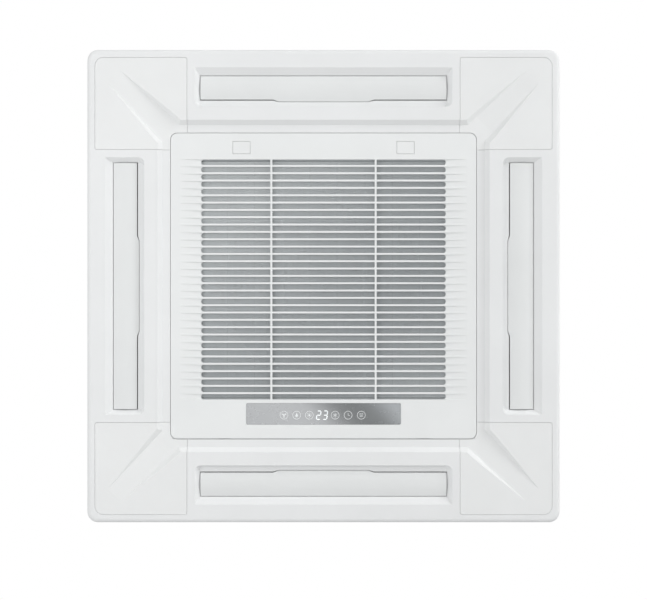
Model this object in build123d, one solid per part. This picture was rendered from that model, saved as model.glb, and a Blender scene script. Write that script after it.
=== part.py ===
from build123d import *
import os
from math import cos, pi, radians, sin, sqrt

# ===================================================================== driving dimensions, mm
# The origin is the centre of the four hanger slots, in the plane under the hanger lugs.
# +Z is up, the room side faces -Z, -Y is the latch side and +Y is the display side.
ceiling_z = -150.0              # plaster face below the hanger plane
panel_depth = 50.0              # ceiling down to the raised band
case_above_ceiling = 12.0       # ceiling up to the open bottom of the case
fit_gap = 0.4                   # hairline round each clip-in cover
part_gap = 0.3                  # clearance between pieces of different bodies
run_gap = 0.05                  # radial clearance of a pin in its hole

# decorative panel
panel_side = 950.0
panel_corner_r = 22.0
panel_edge_r = 9.0
panel_skin = 3.0
panel_wall = 2.5
rim_flange = 12.0
ceiling_foam = 3.0
case_foam = 3.0
gasket_edge = 8.0               # width of the foam outside the ducts
ring_side = 648.0               # recessed ring round the grille
ring_recess = 8.0
bevel_run = 9.0                 # horizontal width of the bevel beside the ring
valley_half_in = 22.9           # half width of a corner valley's floor at the ring
valley_half_out = 17.7          # and at its outer tip
valley_tip = 593.3              # distance of the tip from the centre, along the diagonal

# air outlets and louvers
outlet_inner = 360.0            # from the centre to the edge nearest the grille
outlet_outer = 438.0
outlet_half_length = 258.0
outlet_corner_r = 11.0
lip_recess = 9.0                # how deep the flap's edges lie behind the band
lip_run_outer = 14.5            # sloped outer lip
lip_run_end = 9.5
ledge = 7.5
duct_land = 6.0                 # upright stretch beside the flap
duct_top_inner = 352.0
duct_top_outer = 392.0
flap_thickness = 2.5
flap_crown = 4.0
flap_gap = 1.0
flap_inset = 3.5                # gap between the flap and the duct wall on the grille side
flap_slit = 0.7                 # what is left of that gap beside the ledge
flap_end_slit = 1.6             # the same beside the flap's end stretches
ledge_edge = 0.3                # thickness of the ledge's edge
ledge_undercut = 2.8            # sloped underside of that edge
flap_notch = 4.0                # the end stretches are this much narrower
flap_wide_half = 91.0
flap_notch_run = 10.0
louver_axis_from_edge = 14.0
louver_axis_lift = 8.0
louver_pin_r = 2.5
louver_boss_r = 5.0
cheek_thickness = 2.5
motor_r = 14.0
motor_length = 18.0
motor_offset = 8.0              # body centre above the output shaft
motor_ear_pitch = 35.0
motor_ear_width = 7.0
motor_ear_hole_r = 2.1

# corner covers
cover_side = 184.0
cover_from_edge = 17.0
cover_outer_r = 17.0
cover_inner_r = 4.0
cover_skin = 2.5
cover_skirt = 13.0
relief_run = 16.5               # swing relief in the two back covers, along X
relief_depth = 5.5
relief_end = 2.0                # where it runs out, inside the grille's edge
tray_skin = 3.0
access_hole_r = 34.0
access_from_centre = 560.0      # along the diagonal
panel_screw_from_centre = 333.0 # in x and in y
panel_screw_r = 3.0
panel_screw_head_r = 5.5
panel_screw_head = 4.0
panel_screw_reach = 11.0        # above the case's lower edge
panel_boss_r = 9.0
panel_head_depth = 6.0          # how far the head sits above the tray

# intake grille
grille_side = 615.0
grille_corner_r = 14.0
grille_gap = 0.8
grille_depth = 20.0
grille_skin = 3.0
grille_wall = 3.0
bar_depth = 9.0
slot_count = 33
slot_pitch = 14.75
slot_height = 10.95
slot_width = 493.0
slot_field_y = -13.2            # middle of the slot field
field_margin = 10.0
rib_from_centre = 105.0
rib_width = 4.0
flute_run = 43.0
flute_depth = 2.4
hinge_r = 2.5
hinge_pin_r = 0.8
hinge_lug_r = 1.5
hinge_arm_rise = 8.0            # from the pin up to the top of a lug
hinge_arm_thickness = 3.5
hinge_from_centre = 200.0
hinge_lug_width = 24.0
hinge_boss_width = 10.0
hinge_boss_wall = 1.5
hinge_notch_gap = 0.4

# press latches
latch_from_centre = 165.0
latch_y = -278.6
latch_width = 34.4
latch_height = 24.6
latch_gap = 0.5
latch_plate = 3.0
latch_arm_width = 14.0
latch_arm_thickness = 3.0
latch_nose = 3.5
latch_web_length = 11.0         # foot of the web behind the arm
latch_pin_r = 1.2
latch_boss_r = 2.6
latch_lug = 6.0
latch_bite = 2.3                # how far a nose reaches over its clip
latch_reach_gap = 7.0           # between a nose and the pocket's wall
latch_clip_room = 2.0           # from the grille's rear edge up to a nose
clip_sheet = 0.8
clip_width = 12.0

# display
display_width = 311.0
display_height = 42.8
display_y = 257.1
display_thickness = 1.8
display_corner_r = 3.0
display_ledge = 3.0
board_thickness = 1.6
board_lift = 3.5
board_post_r = 2.5
digits_width = 24.0
digits_height = 18.0
digits_depth = 4.0

# filter
filter_margin = 8.0
filter_depth = 6.0
filter_bar = 3.0
filter_border = 8.0
filter_columns = 9
filter_rows = 8
net_thickness = 0.6

# case
case_side = 840.0
case_height = 245.0
case_chamfer = 150.0
sheet = 1.2
gusset_depth = 20.0
rib_count = 8                   # stamped ribs in the top
rib_from_axis = 140.0
rib_length = 220.0
top_rib_width = 14.0
rib_height = 3.0
insulation_wall = 15.0
insulation_thickness = 12.0     # foam under the top
hanger_pitch_x = 780.0
hanger_pitch_y = 680.0
hanger_slot_width = 12.0
hanger_slot_length = 26.0
hanger_sheet = 3.0
hanger_width = 80.0
hanger_leg = 60.0
hanger_rim = 16.0
hanger_screw_r = 3.0
hanger_screw_head_r = 6.0
hanger_screw_head = 3.0
hanger_screw_pitch = 44.0

# drain pan and bell mouth
pan_height = 42.0
pan_gap = 0.3
pan_screw_gap = 2.0
trough_depth = 22.0
trough_margin = 4.0
pan_hole_r = 232.0
sump_r = 46.0
sump_floor = 12.0
bell_throat_r = 205.0
bell_flange_r = 250.0
bell_wall = 2.5
bell_height = 33.0
bell_round = 22.0
curve_steps = 4                 # flat steps in a quarter round

# heat exchanger
coil_outer = 696.0
coil_thickness = 38.0
coil_height = 190.0
coil_corner_r = 76.0
coil_end = 190.0                # where each end of the ring stops
end_plate = 1.5
end_plate_lip = 3.0
bend_tube_r = 3.5
bend_pitch = 21.0
bend_rows = 8
bend_straight = 2.0
bend_steps = 4
header_r = 9.5
header_length = 130.0
header_from_plate = 22.0
header_stubs = 6

# turbo fan
fan_r = 240.0
fan_top_z = 58.0
fan_eye_r = 213.0
fan_eye_z = -112.0
shroud_rise = 48.0
fan_wall = 3.0
blade_count = 7
blade_thickness = 6.0
blade_edge = 2.0                # thickness at its two edges
blade_in_r = 138.0              # leading edge at the back plate
blade_low_r = 196.0             # and at the eye
blade_low_gap = 8.0             # the blades start this far above the eye
blade_sweep = 48.0              # degrees from the leading to the trailing edge
blade_bend = 0.85               # under 1 curves the blade backwards
blade_steps = 5
dome_top_r = 92.0
dome_floor_r = 80.0
dome_floor_z = -22.0
hub_r = 18.0
hub_length = 40.0
shaft_r = 6.0
fan_nut_r = 10.0
fan_nut_height = 7.0

# fan motor
fan_motor_r = 70.0
fan_motor_top_z = 74.0
fan_motor_height = 84.0
motor_cap_taper = 10.0
motor_lug_pitch_r = 84.0
motor_lug_r = 11.0
motor_lug_thickness = 5.0
motor_lug_drop = 4.0            # from the motor's top to its lugs
motor_feet_r = 9.0
motor_plate = 2.5
motor_plate_r = 105.0
foot_count = 4

# drain pump and float switch
pump_at = 285.0                 # x and y of the pump's axis
pump_cup_r = 26.0
pump_cup_height = 24.0
pump_wall = 2.5
pump_base_gap = 4.0
pump_motor_r = 24.0
pump_motor_height = 36.0
pump_neck_r = 8.0
pump_neck_height = 46.0
pump_shaft_r = 2.5
pump_wheel_r = 19.0
pump_wheel_height = 10.0
pump_outlet_r = 7.0
pump_spout_drop = 8.0           # below the top of the cup
hose_bend_r = 20.0
hose_first_bend_r = 12.0
hose_sides = 8
pump_bracket_sheet = 2.0
float_at_x = 238.0
float_at_y = 322.0
float_r = 12.0
float_room = 3.0                # free space round the float
float_height = 14.0
float_stem_r = 3.0
float_stem_length = 46.0
port_r = 16.0
port_wall = 2.5
port_inset = 10.0               # from the liner to the port's inner end
port_length = 40.0
port_z = 35.0
port_x = 236.0

# refrigerant pipes
gas_pipe_r = 7.95
liquid_pipe_r = 4.76
liquid_bend_r = 14.0
pipe_pitch_z = 60.0
gas_pipe_z = 5.0
pipe_out = 52.0                 # how far the pipes reach past the case
flare_length = 24.0
flare_socket = 8.0              # the nut reaches this far past the pipe
flare_room = 0.25               # radial clearance of the pipe that is joined on site
flare_flat_gas = 29.0
flare_flat_liquid = 22.0
pipe_plate_width = 70.0
pipe_plate_height = 130.0
pipe_hole_gap = 3.0

# electric box
box_length = 360.0
box_width = 50.0
box_height = 28.0
box_centre_x = -279.0
box_wall = 1.6
terminal_length = 90.0
terminal_height = 12.0
terminal_width = 22.0
terminal_rib = 3.0
terminal_count = 6
grommet_r = 14.0
grommet_hole_r = 8.0
grommet_lip = 2.0               # beside the sheet, inside and outside
grommet_nipple = 12.0           # outside length
grommet_wall = 2.5
grommet_y = -60.0

# ===================================================================== worked-out sizes and heights
over = 1.0                      # how far a cutting solid runs past a face
face_z = ceiling_z - panel_depth
ring_z = face_z + ring_recess
case_z = ceiling_z + case_above_ceiling
case_top_z = case_z + case_height
duct_top_z = case_z - case_foam
rim_z = ceiling_z - ceiling_foam
lip_z = face_z + lip_recess
land_z = lip_z + duct_land
case_half = case_side / 2
case_inner = case_half - sheet
liner_inner = case_inner - insulation_wall
pan_top_z = case_z + pan_height
trough_z = pan_top_z - trough_depth
coil_top_z = trough_z + coil_height
tray_z = face_z + cover_skirt + fit_gap
duct_inner = outlet_inner + ledge
duct_outer = outlet_outer - lip_run_outer
duct_half_length = outlet_half_length - lip_run_end
flap_inner = duct_inner + flap_inset
flap_outer = duct_outer - flap_gap
flap_half_length = duct_half_length - flap_gap
louver_y = -(flap_inner + louver_axis_from_edge)
louver_z = lip_z + louver_axis_lift
pocket_side = grille_side + 2 * grille_gap
hinge_y = grille_side / 2 - hinge_r
hinge_z = ring_z + hinge_r
cover_centre = panel_side / 2 - cover_from_edge - cover_side / 2
field_top_z = ring_z + bar_depth
latch_pivot_y = latch_y + latch_height / 2 - latch_boss_r
latch_pivot_z = ring_z + latch_plate
latch_nose_z = ring_z + grille_depth + latch_clip_room
clip_top_z = duct_top_z - over
pipe_y = coil_end + end_plate + header_from_plate
motor_lug_z = fan_motor_top_z - motor_lug_drop
CORNERS = [(1, 1), (-1, 1), (-1, -1), (1, -1)]
SIDES = ["front", "right", "back", "left"]


# ===================================================================== small helpers
def slab(width, length, low, high, corner_r=0.0):
    """Upright block centred on the Z axis, with rounded corners where asked."""
    if corner_r:
        outline = RectangleRounded(width, length, corner_r)
    else:
        outline = Rectangle(width, length)
    return Pos(0, 0, low) * extrude(outline, high - low)


def block(x_low, x_high, y_low, y_high, z_low, z_high):
    """Block between two corners."""
    centre = Pos((x_low + x_high) / 2, (y_low + y_high) / 2, (z_low + z_high) / 2)
    return centre * Box(x_high - x_low, y_high - y_low, z_high - z_low)


def post(x, y, low, high, radius):
    """Upright cylinder."""
    return Pos(x, y, (low + high) / 2) * Cylinder(radius, high - low)


def rod_x(x_low, x_high, y, z, radius):
    """Cylinder along X."""
    return Pos((x_low + x_high) / 2, y, z) * Rot(0, 90, 0) * Cylinder(radius, x_high - x_low)


def rod_y(x, y_low, y_high, z, radius):
    """Cylinder along Y."""
    return Pos(x, (y_low + y_high) / 2, z) * Rot(90, 0, 0) * Cylinder(radius, y_high - y_low)


def quarter(shape, turns):
    """The shape turned about Z by quarter turns: front, right, back, left."""
    return Rot(0, 0, 90 * turns) * shape


def octagon(half, chamfer, low, high):
    """Square prism with its four upright edges cut off."""
    outline = Rectangle(2 * half, 2 * half)
    outline = chamfer_corners(outline, chamfer)
    return Pos(0, 0, low) * extrude(outline, high - low)


def chamfer_corners(outline, size):
    return chamfer(outline.vertices(), size)


def inset_chamfer(chamfer_size, inset):
    """Chamfer of an outline offset inwards by inset."""
    return chamfer_size - inset * (2 - sqrt(2))


def save(name, shape):
    export_step(shape, "parts/" + name + ".step")


# ===================================================================== panel
def ring_tool():
    """Cuts the recessed ring with its bevel."""
    run_over = bevel_run * (1 + over / ring_recess)
    wide = Pos(0, 0, face_z - over) * Rectangle(ring_side + 2 * run_over, ring_side + 2 * run_over)
    narrow = Pos(0, 0, ring_z) * Rectangle(ring_side, ring_side)
    return loft([wide, narrow], ruled=True)


def valley_section(along, half_floor, depth):
    """Cross-section of a corner valley, square to the diagonal."""
    out_z = face_z - 3 * over
    floor_z = face_z + depth
    half_out = half_floor + (floor_z - out_z) * bevel_run / ring_recess
    plane = Plane(origin=(along / sqrt(2), along / sqrt(2), 0), x_dir=(-1, 1, 0), z_dir=(1, 1, 0))
    points = [(-half_floor, floor_z), (half_floor, floor_z), (half_out, out_z), (-half_out, out_z)]
    return plane * Polygon(*points, align=None)


def valley_tool():
    """Cuts one corner valley: level at the ring, ramping up to the raised band at its tip."""
    ring_corner = ring_side / sqrt(2)
    narrowing = (valley_half_in - valley_half_out) / (valley_tip - ring_corner)
    past = 20.0
    start = valley_section(ring_corner - 2 * past, valley_half_in + 2 * past * narrowing, ring_recess)
    middle = valley_section(ring_corner, valley_half_in, ring_recess)
    rise = ring_recess * past / (valley_tip - ring_corner)
    end = valley_section(valley_tip + past, valley_half_out - past * narrowing, -rise)
    return loft([start, middle, end], ruled=True)


def face_body(back_z):
    """Solid from the room-side surface up to back_z."""
    body = slab(panel_side, panel_side, face_z, back_z, panel_corner_r)
    body = fillet(body.faces().sort_by(Axis.Z)[0].edges(), panel_edge_r)
    body -= ring_tool()
    for turns in range(4):
        body -= quarter(valley_tool(), turns)
    return body


def outlet_section(inner, outer, half_length, z, corner_r=0.0):
    """Plan outline of the front outlet at one height, rounded on the grille side."""
    outline = Pos(0, -(inner + outer) / 2, z) * Rectangle(2 * half_length, outer - inner)
    if corner_r:
        outline = fillet(outline.vertices().sort_by(Axis.Y)[-2:], corner_r)
    return outline


def outlet_mouth(grow, low, high):
    """The flared mouth of the front outlet, or its outside when grown by the wall."""
    def at(z):
        share = (lip_z - z) / lip_recess
        outer = duct_outer + share * lip_run_outer + grow
        half_length = duct_half_length + share * lip_run_end + grow
        return outlet_section(outlet_inner - grow, outer, half_length, z, outlet_corner_r)
    return loft([at(low), at(high)], ruled=True)


def outlet_duct(grow, low, high):
    """The duct above the mouth: upright beside the flap, then leaning in towards the coil."""
    def at(z):
        share = max(0, (z - land_z) / (duct_top_z - land_z))
        inner = duct_inner + share * (duct_top_inner - duct_inner) - grow
        outer = duct_outer + share * (duct_top_outer - duct_outer) + grow
        return outlet_section(inner, outer, duct_half_length + grow, z)
    return loft([at(low), at(land_z), at(high)], ruled=True)


def cover_prism(grow, low, high):
    """Upright block under the (+X, +Y) corner cover, its outline grown or shrunk."""
    side = cover_side + 2 * grow
    outline = RectangleRounded(side, side, cover_inner_r + grow)
    rounding = cover_outer_r + grow
    far = side / 2
    corner = Pos(far - rounding / 2, far - rounding / 2) * Rectangle(rounding, rounding)
    arc = Pos(far - rounding, far - rounding) * Circle(rounding)
    outline = outline - corner + (corner & arc)
    prism = Pos(cover_centre, cover_centre, low) * extrude(outline, high - low)
    notch = grille_side / 2 + grille_gap - grow
    return prism - slab(2 * notch, 2 * notch, low - over, high + over, grille_corner_r)


def panel_frame():
    """One moulding: raised band, ring, four ducts, corner trays and the grille pocket."""
    body = face_body(rim_z)
    hollow_side = panel_side - 2 * panel_wall
    hollow_r = panel_corner_r - panel_wall
    hollow = slab(hollow_side, hollow_side, face_z + panel_skin, rim_z - panel_skin, hollow_r)
    mouth_side = hollow_side - 2 * rim_flange
    hollow += slab(mouth_side, mouth_side, rim_z - panel_skin - over, rim_z + over, panel_corner_r)
    ring_outer = ring_side + 2 * bevel_run + 2 * panel_skin
    hollow -= slab(ring_outer, ring_outer, face_z, ring_z + panel_skin)
    for turns in range(4):
        hollow -= quarter(cover_prism(panel_wall + fit_gap, face_z, tray_z + tray_skin), turns)
    body -= hollow
    pocket_outer = pocket_side + 2 * panel_wall
    body += slab(pocket_outer, pocket_outer, ring_z + over, duct_top_z, grille_corner_r + panel_wall)
    for turns in range(4):
        body += quarter(outlet_mouth(panel_wall, face_z + over, lip_z + panel_wall), turns)
        body += quarter(outlet_duct(panel_wall, lip_z, duct_top_z), turns)
    for turns in range(4):
        body -= quarter(outlet_mouth(0, face_z - over, lip_z), turns)
        body -= quarter(outlet_duct(0, lip_z - over / 2, duct_top_z + over), turns)
        body -= quarter(cover_prism(fit_gap, face_z - over, tray_z), turns)
        body -= quarter(louver_holes(), turns)
        reach = access_from_centre / sqrt(2)
        body -= quarter(post(reach, reach, tray_z - over, tray_z + tray_skin + over, access_hole_r), turns)
        body += quarter(flap_ledge(), turns)
        body += quarter(panel_boss(), turns)
        body -= quarter(panel_boss_bore(), turns)
    pocket_r = grille_corner_r + grille_gap
    body -= slab(pocket_side, pocket_side, face_z - over, duct_top_z + over, pocket_r)
    for side in (-1, 1):
        body += hinge_lug(side * hinge_from_centre)
    return body


def panel_boss():
    """Solid boss from a corner tray up to the case, before it is bored."""
    return post(panel_screw_from_centre, panel_screw_from_centre, tray_z, duct_top_z, panel_boss_r)


def panel_boss_bore():
    """Screw hole of a boss, with a counterbore that takes the head."""
    place = panel_screw_from_centre
    bore = post(place, place, tray_z - over, duct_top_z + over, panel_screw_r + part_gap)
    return bore + post(place, place, tray_z - over, tray_z + panel_head_depth, panel_screw_head_r + over)


def louver_holes():
    """Bearing hole in each end wall of the front outlet."""
    reach = duct_half_length + panel_wall + over
    inside = duct_half_length - over
    radius = louver_pin_r + run_gap
    holes = rod_x(inside, reach, louver_y, louver_z, radius)
    return holes + rod_x(-reach, -inside, louver_y, louver_z, radius)


def flap_ledge():
    """Strip that carries the front mouth's ledge on to the flap and follows the flap's notch."""
    narrow = flap_inner - flap_slit
    wide = flap_inner + flap_notch - flap_end_slit
    corner = flap_wide_half + flap_notch_run
    end = duct_half_length + panel_wall / 2
    stations = [(-end, wide), (-corner, wide), (-flap_wide_half, narrow),
                (flap_wide_half, narrow), (corner, wide), (end, wide)]
    return loft([ledge_section(x, edge) for x, edge in stations], ruled=True)


def ledge_section(x, edge):
    """Cross-section of the ledge whose edge lies at the given distance from the centre."""
    root = duct_inner - panel_wall / 2
    back = edge - ledge_undercut
    points = [(-root, lip_z), (-edge, lip_z), (-edge, lip_z + ledge_edge),
              (-back, lip_z + ledge_edge + ledge_undercut), (-back, land_z), (-root, land_z)]
    return Plane(origin=(x, 0, 0), x_dir=(0, 1, 0), z_dir=(1, 0, 0)) * Polygon(*points, align=None)


def hinge_lug(x):
    """Hooked knuckle that holds a hinge pin: it rises from the pin, then turns to the pocket's wall."""
    low, high = x - hinge_lug_width / 2, x + hinge_lug_width / 2
    top = hinge_z + hinge_arm_rise
    lug = rod_x(low, high, hinge_y, hinge_z, hinge_lug_r)
    lug += block(low, high, hinge_y - hinge_lug_r, hinge_y + hinge_lug_r, hinge_z, top)
    wall_y = pocket_side / 2 + panel_wall / 2
    lug += block(low, high, hinge_y - hinge_lug_r, wall_y, top - hinge_arm_thickness, top)
    return lug - rod_x(low - over, high + over, hinge_y, hinge_z, hinge_pin_r)


def corner_cover():
    """Clip-in cover of the (+X, +Y) corner: a thin skin that follows the bevels, with a skirt."""
    skirt_top = face_z + cover_skirt
    outside = face_body(skirt_top) & cover_prism(0, face_z - over, skirt_top)
    inside = Pos(0, 0, cover_skin) * face_body(skirt_top)
    return outside - (inside & cover_prism(-cover_skin, face_z - over, skirt_top + over))


def swing_relief():
    """Clears the inner corner of the (+X, +Y) cover from the grille's corner as it swings down."""
    edge = grille_side / 2
    profile = Polygon((edge - relief_run, ring_z - over), (edge - relief_end, ring_z - over),
                      (edge - relief_end, ring_z), (edge - 0.4 * relief_run, ring_z + 0.6 * relief_depth),
                      (edge - 0.65 * relief_run, ring_z + 0.92 * relief_depth),
                      (edge - relief_run, ring_z + relief_depth), align=None)
    far = hinge_y + hinge_r + fit_gap
    return Pos(0, far, 0) * extrude(Plane.XZ * profile, relief_run)


def back_cover():
    """The (+X, +Y) cover with room for the grille's swing."""
    return corner_cover() - swing_relief()


def panel_screw():
    """Hexagon-headed screw from a boss up through the case's gusset."""
    place = panel_screw_from_centre
    head_top = tray_z + panel_head_depth
    head = Pos(place, place, head_top - panel_screw_head) * extrude(
        RegularPolygon(panel_screw_head_r, 6), panel_screw_head)
    return head + post(place, place, head_top - over, case_z + panel_screw_reach, panel_screw_r)


def panel_gasket():
    """Foam between the panel's duct ends and the drain pan."""
    outer = 2 * (duct_top_outer + gasket_edge)
    body = slab(outer, outer, duct_top_z, case_z)
    body -= slab(pocket_side, pocket_side, duct_top_z - over, case_z + over)
    for turns in range(4):
        opening = outlet_section(duct_top_inner, duct_top_outer, duct_half_length, duct_top_z - over)
        body -= quarter(extrude(opening, case_foam + 2 * over, dir=(0, 0, 1)), turns)
        place = panel_screw_from_centre
        body -= quarter(post(place, place, duct_top_z - over, case_z + over, panel_screw_r + part_gap), turns)
    return body


def ceiling_gasket():
    """Foam strip between the panel's rim and the ceiling."""
    side = panel_side - 2 * panel_wall
    strip = slab(side, side, rim_z, ceiling_z, panel_corner_r - panel_wall)
    inner = side - 2 * rim_flange
    return strip - slab(inner, inner, rim_z - over, ceiling_z + over, panel_corner_r)


# ===================================================================== louvers
def front_louver():
    """Curved flap with a cheek and a bearing pin at each end."""
    width = flap_outer - flap_inner
    section = Plane.YZ * make_face([
        ThreePointArc((-flap_outer, lip_z), (-flap_outer + width / 2, lip_z - flap_crown),
                      (-flap_inner, lip_z)),
        Line((-flap_inner, lip_z), (-flap_inner, lip_z + flap_thickness)),
        ThreePointArc((-flap_inner, lip_z + flap_thickness),
                      (-flap_outer + width / 2, lip_z - flap_crown + flap_thickness),
                      (-flap_outer, lip_z + flap_thickness)),
        Line((-flap_outer, lip_z + flap_thickness), (-flap_outer, lip_z))])
    flap = extrude(section, flap_half_length, both=True)
    notch = flap_notch_tool()
    flap -= notch
    flap -= mirror(notch, Plane.YZ)
    for side in (-1, 1):
        flap += louver_cheek(side)
    return flap


def flap_notch_tool():
    """Trims the right end stretch of the flap's inner edge."""
    corner = flap_wide_half + flap_notch_run
    end = flap_half_length + over
    notch_edge = -(flap_inner + flap_notch)
    outline = Polygon((flap_wide_half, -flap_inner), (corner, notch_edge), (end, notch_edge),
                      (end, -flap_inner + over), (flap_wide_half, -flap_inner + over), align=None)
    height = flap_crown + flap_thickness + 2 * over
    return Pos(0, 0, lip_z - flap_crown - over) * extrude(outline, height, dir=(0, 0, 1))


def louver_cheek(side):
    """End cheek that carries the bearing pin."""
    near = flap_half_length - cheek_thickness
    low, high = sorted((side * near, side * flap_half_length))
    outline = rod_x(low, high, louver_y, louver_z, louver_boss_r)
    web = block(low, high, louver_y - 3 * louver_boss_r, louver_y + louver_boss_r, lip_z, louver_z)
    pin_end = duct_half_length + panel_wall
    pin_low, pin_high = sorted((side * near, side * pin_end))
    return outline + web + rod_x(pin_low, pin_high, louver_y, louver_z, louver_pin_r)


def louver_motor():
    """Stepping motor behind the right end of the front outlet."""
    start = duct_half_length + panel_wall + part_gap
    centre_z = louver_z + motor_offset
    body = rod_x(start, start + motor_length, louver_y, centre_z, motor_r)
    ear, half = motor_ear_pitch / 2, motor_ear_width / 2
    plate = block(start, start + over, louver_y - ear - half, louver_y + ear + half,
                  centre_z - half, centre_z + half)
    for side in (-1, 1):
        plate -= rod_x(start - over, start + 2 * over, louver_y + side * ear, centre_z, motor_ear_hole_r)
    return body + plate


# ===================================================================== intake grille
def slot_field():
    """All slot openings as one sketch."""
    row = SlotOverall(slot_width, slot_height)
    slots = Pos(0, slot_field_y) * (Sketch() + GridLocations(1, slot_pitch, 1, slot_count) * row)
    field_height = slot_pitch * (slot_count + 1)
    for side in (-1, 1):
        slots -= Pos(side * rib_from_centre, slot_field_y) * Rectangle(rib_width, field_height)
    return slots


def flutes():
    """Shallow grooves that run out of the slots' ends and fade into the border."""
    start = slot_width / 2 - slot_height / 2
    end = slot_width / 2 + flute_run
    profile = Polygon((start, ring_z - over), (start, ring_z + flute_depth), (end, ring_z),
                      (end, ring_z - over), align=None)
    groove = extrude(Plane.XZ * profile, slot_height / 2, both=True)
    grooves = []
    for index in range(slot_count):
        y = slot_field_y + (index - (slot_count - 1) / 2) * slot_pitch
        grooves.append(Pos(0, y, 0) * groove)
        grooves.append(Pos(0, y, 0) * Rot(0, 0, 180) * groove)
    return grooves


def intake_grille():
    """Moulded grille: border with walls, slatted field, latch windows, display seat and hinge bosses."""
    body = slab(grille_side, grille_side, ring_z, ring_z + grille_depth, grille_corner_r)
    inner = grille_side - 2 * grille_wall
    body -= slab(inner, inner, ring_z + grille_skin, ring_z + grille_depth + over,
                 grille_corner_r - grille_wall)
    field_width = slot_width + 2 * field_margin
    field_height = slot_pitch * (slot_count - 1) + slot_height + field_margin
    body += Pos(0, slot_field_y, 0) * slab(field_width, field_height, ring_z + over, field_top_z)
    body -= hinge_edge_tool()
    body -= Pos(0, 0, ring_z - over) * extrude(slot_field(), bar_depth + 2 * over)
    body -= flutes()
    for side in (-1, 1):
        body += latch_lugs(side * latch_from_centre)
        body -= latch_opening(side * latch_from_centre)
        body = add_hinge_bosses(body, side * hinge_from_centre)
    body += board_posts()
    body -= display_seat()
    return body


def hinge_edge_tool():
    """Rounds the display-side edge about the hinge axis, so that it turns in its gap."""
    half = grille_side / 2
    corner = block(-half - over, half + over, hinge_y, half + over, ring_z - over, hinge_z)
    return corner - rod_x(-half - 2 * over, half + 2 * over, hinge_y, hinge_z, hinge_r)


def add_hinge_bosses(body, x):
    """Cuts the notch for the panel's lug behind the face and adds a bored boss on each side of it."""
    half = hinge_lug_width / 2 + hinge_notch_gap
    edge = grille_side / 2
    inside = hinge_y - hinge_r - hinge_boss_wall
    for side in (-1, 1):
        near, far = x + side * half, x + side * (half + hinge_boss_width)
        low, high = sorted((near, far))
        boss = block(low, high, inside, edge, hinge_z, ring_z + 3 * hinge_r)
        boss += block(low, high, inside, hinge_y, ring_z, hinge_z + over)
        body += boss
    reach = half + hinge_boss_width
    room = hinge_lug_r + hinge_notch_gap
    body -= block(x - half, x + half, hinge_y - room, edge + over, hinge_z - room + over / 8,
                  ring_z + grille_depth + over)
    return body - rod_x(x - reach, x + reach, hinge_y, hinge_z, hinge_pin_r + run_gap)


def latch_opening(x):
    """Window in the grille's skin round a latch, with the hole for its pin."""
    half_width = latch_width / 2 + latch_gap
    half_height = latch_height / 2 + latch_gap
    window = block(x - half_width, x + half_width, latch_y - half_height, latch_y + half_height,
                   ring_z - over, ring_z + 3 * grille_skin)
    reach = latch_width / 2 + latch_lug - over
    return window + rod_x(x - reach, x + reach, latch_pivot_y, latch_pivot_z, latch_pin_r)


def latch_lugs(x):
    """Two lugs that hold a latch's pin."""
    low_y, high_y = latch_pivot_y - 2 * latch_boss_r, latch_pivot_y + 2 * latch_boss_r
    lugs = []
    for side in (-1, 1):
        near = x + side * (latch_width / 2 + latch_gap)
        far = x + side * (latch_width / 2 + latch_lug)
        low, high = sorted((near, far))
        lugs.append(block(low, high, low_y, high_y, ring_z + over, latch_pivot_z + latch_boss_r))
    return lugs[0] + lugs[1]


def display_seat():
    """Pocket for the window, open behind it except for a narrow ledge."""
    outline = RectangleRounded(display_width + 2 * part_gap, display_height + 2 * part_gap, display_corner_r)
    pocket = Pos(0, display_y, ring_z - over) * extrude(outline, display_thickness + over)
    behind = Rectangle(display_width - 2 * display_ledge, display_height - 2 * display_ledge)
    return pocket + Pos(0, display_y, ring_z) * extrude(behind, grille_skin + over)


def board_places():
    """Where the four posts of the display board stand."""
    half_x = display_width / 2 + board_post_r
    half_y = display_height / 2 - 3 * board_post_r
    return [(x * half_x, display_y + y * half_y) for x, y in CORNERS]


def board_posts():
    top = ring_z + grille_skin + board_lift
    posts = [post(x, y, ring_z + over, top, board_post_r) for x, y in board_places()]
    return posts[0] + posts[1] + posts[2] + posts[3]


def hinge_pins():
    """Two steel pins, each through a panel lug and the grille's bosses beside it."""
    half = hinge_lug_width / 2 + hinge_notch_gap + hinge_boss_width - over
    return Compound([rod_x(side * hinge_from_centre - half, side * hinge_from_centre + half,
                           hinge_y, hinge_z, hinge_pin_r) for side in (-1, 1)])


def latch(x):
    """Rocking plate, flush with the grille, with an arm and a nose over the panel's sill."""
    half_width = latch_width / 2
    body = block(x - half_width, x + half_width, latch_y - latch_height / 2, latch_y + latch_height / 2,
                 ring_z, ring_z + latch_plate)
    body += rod_x(x - half_width, x + half_width, latch_pivot_y, latch_pivot_z, latch_boss_r - 0.1)
    arm_half = latch_arm_width / 2
    arm_y = latch_y - latch_height / 2 + over
    nose_low = latch_nose_z
    body += block(x - arm_half, x + arm_half, arm_y, arm_y + latch_arm_thickness, ring_z + over,
                  nose_low + latch_nose)
    tip = -pocket_side / 2 + latch_reach_gap
    body += block(x - arm_half, x + arm_half, tip, arm_y + over, nose_low, nose_low + latch_nose)
    body += latch_web(x, arm_y + latch_arm_thickness)
    return body - rod_x(x - half_width - over, x + half_width + over, latch_pivot_y, latch_pivot_z,
                        latch_pin_r + run_gap)


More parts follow.
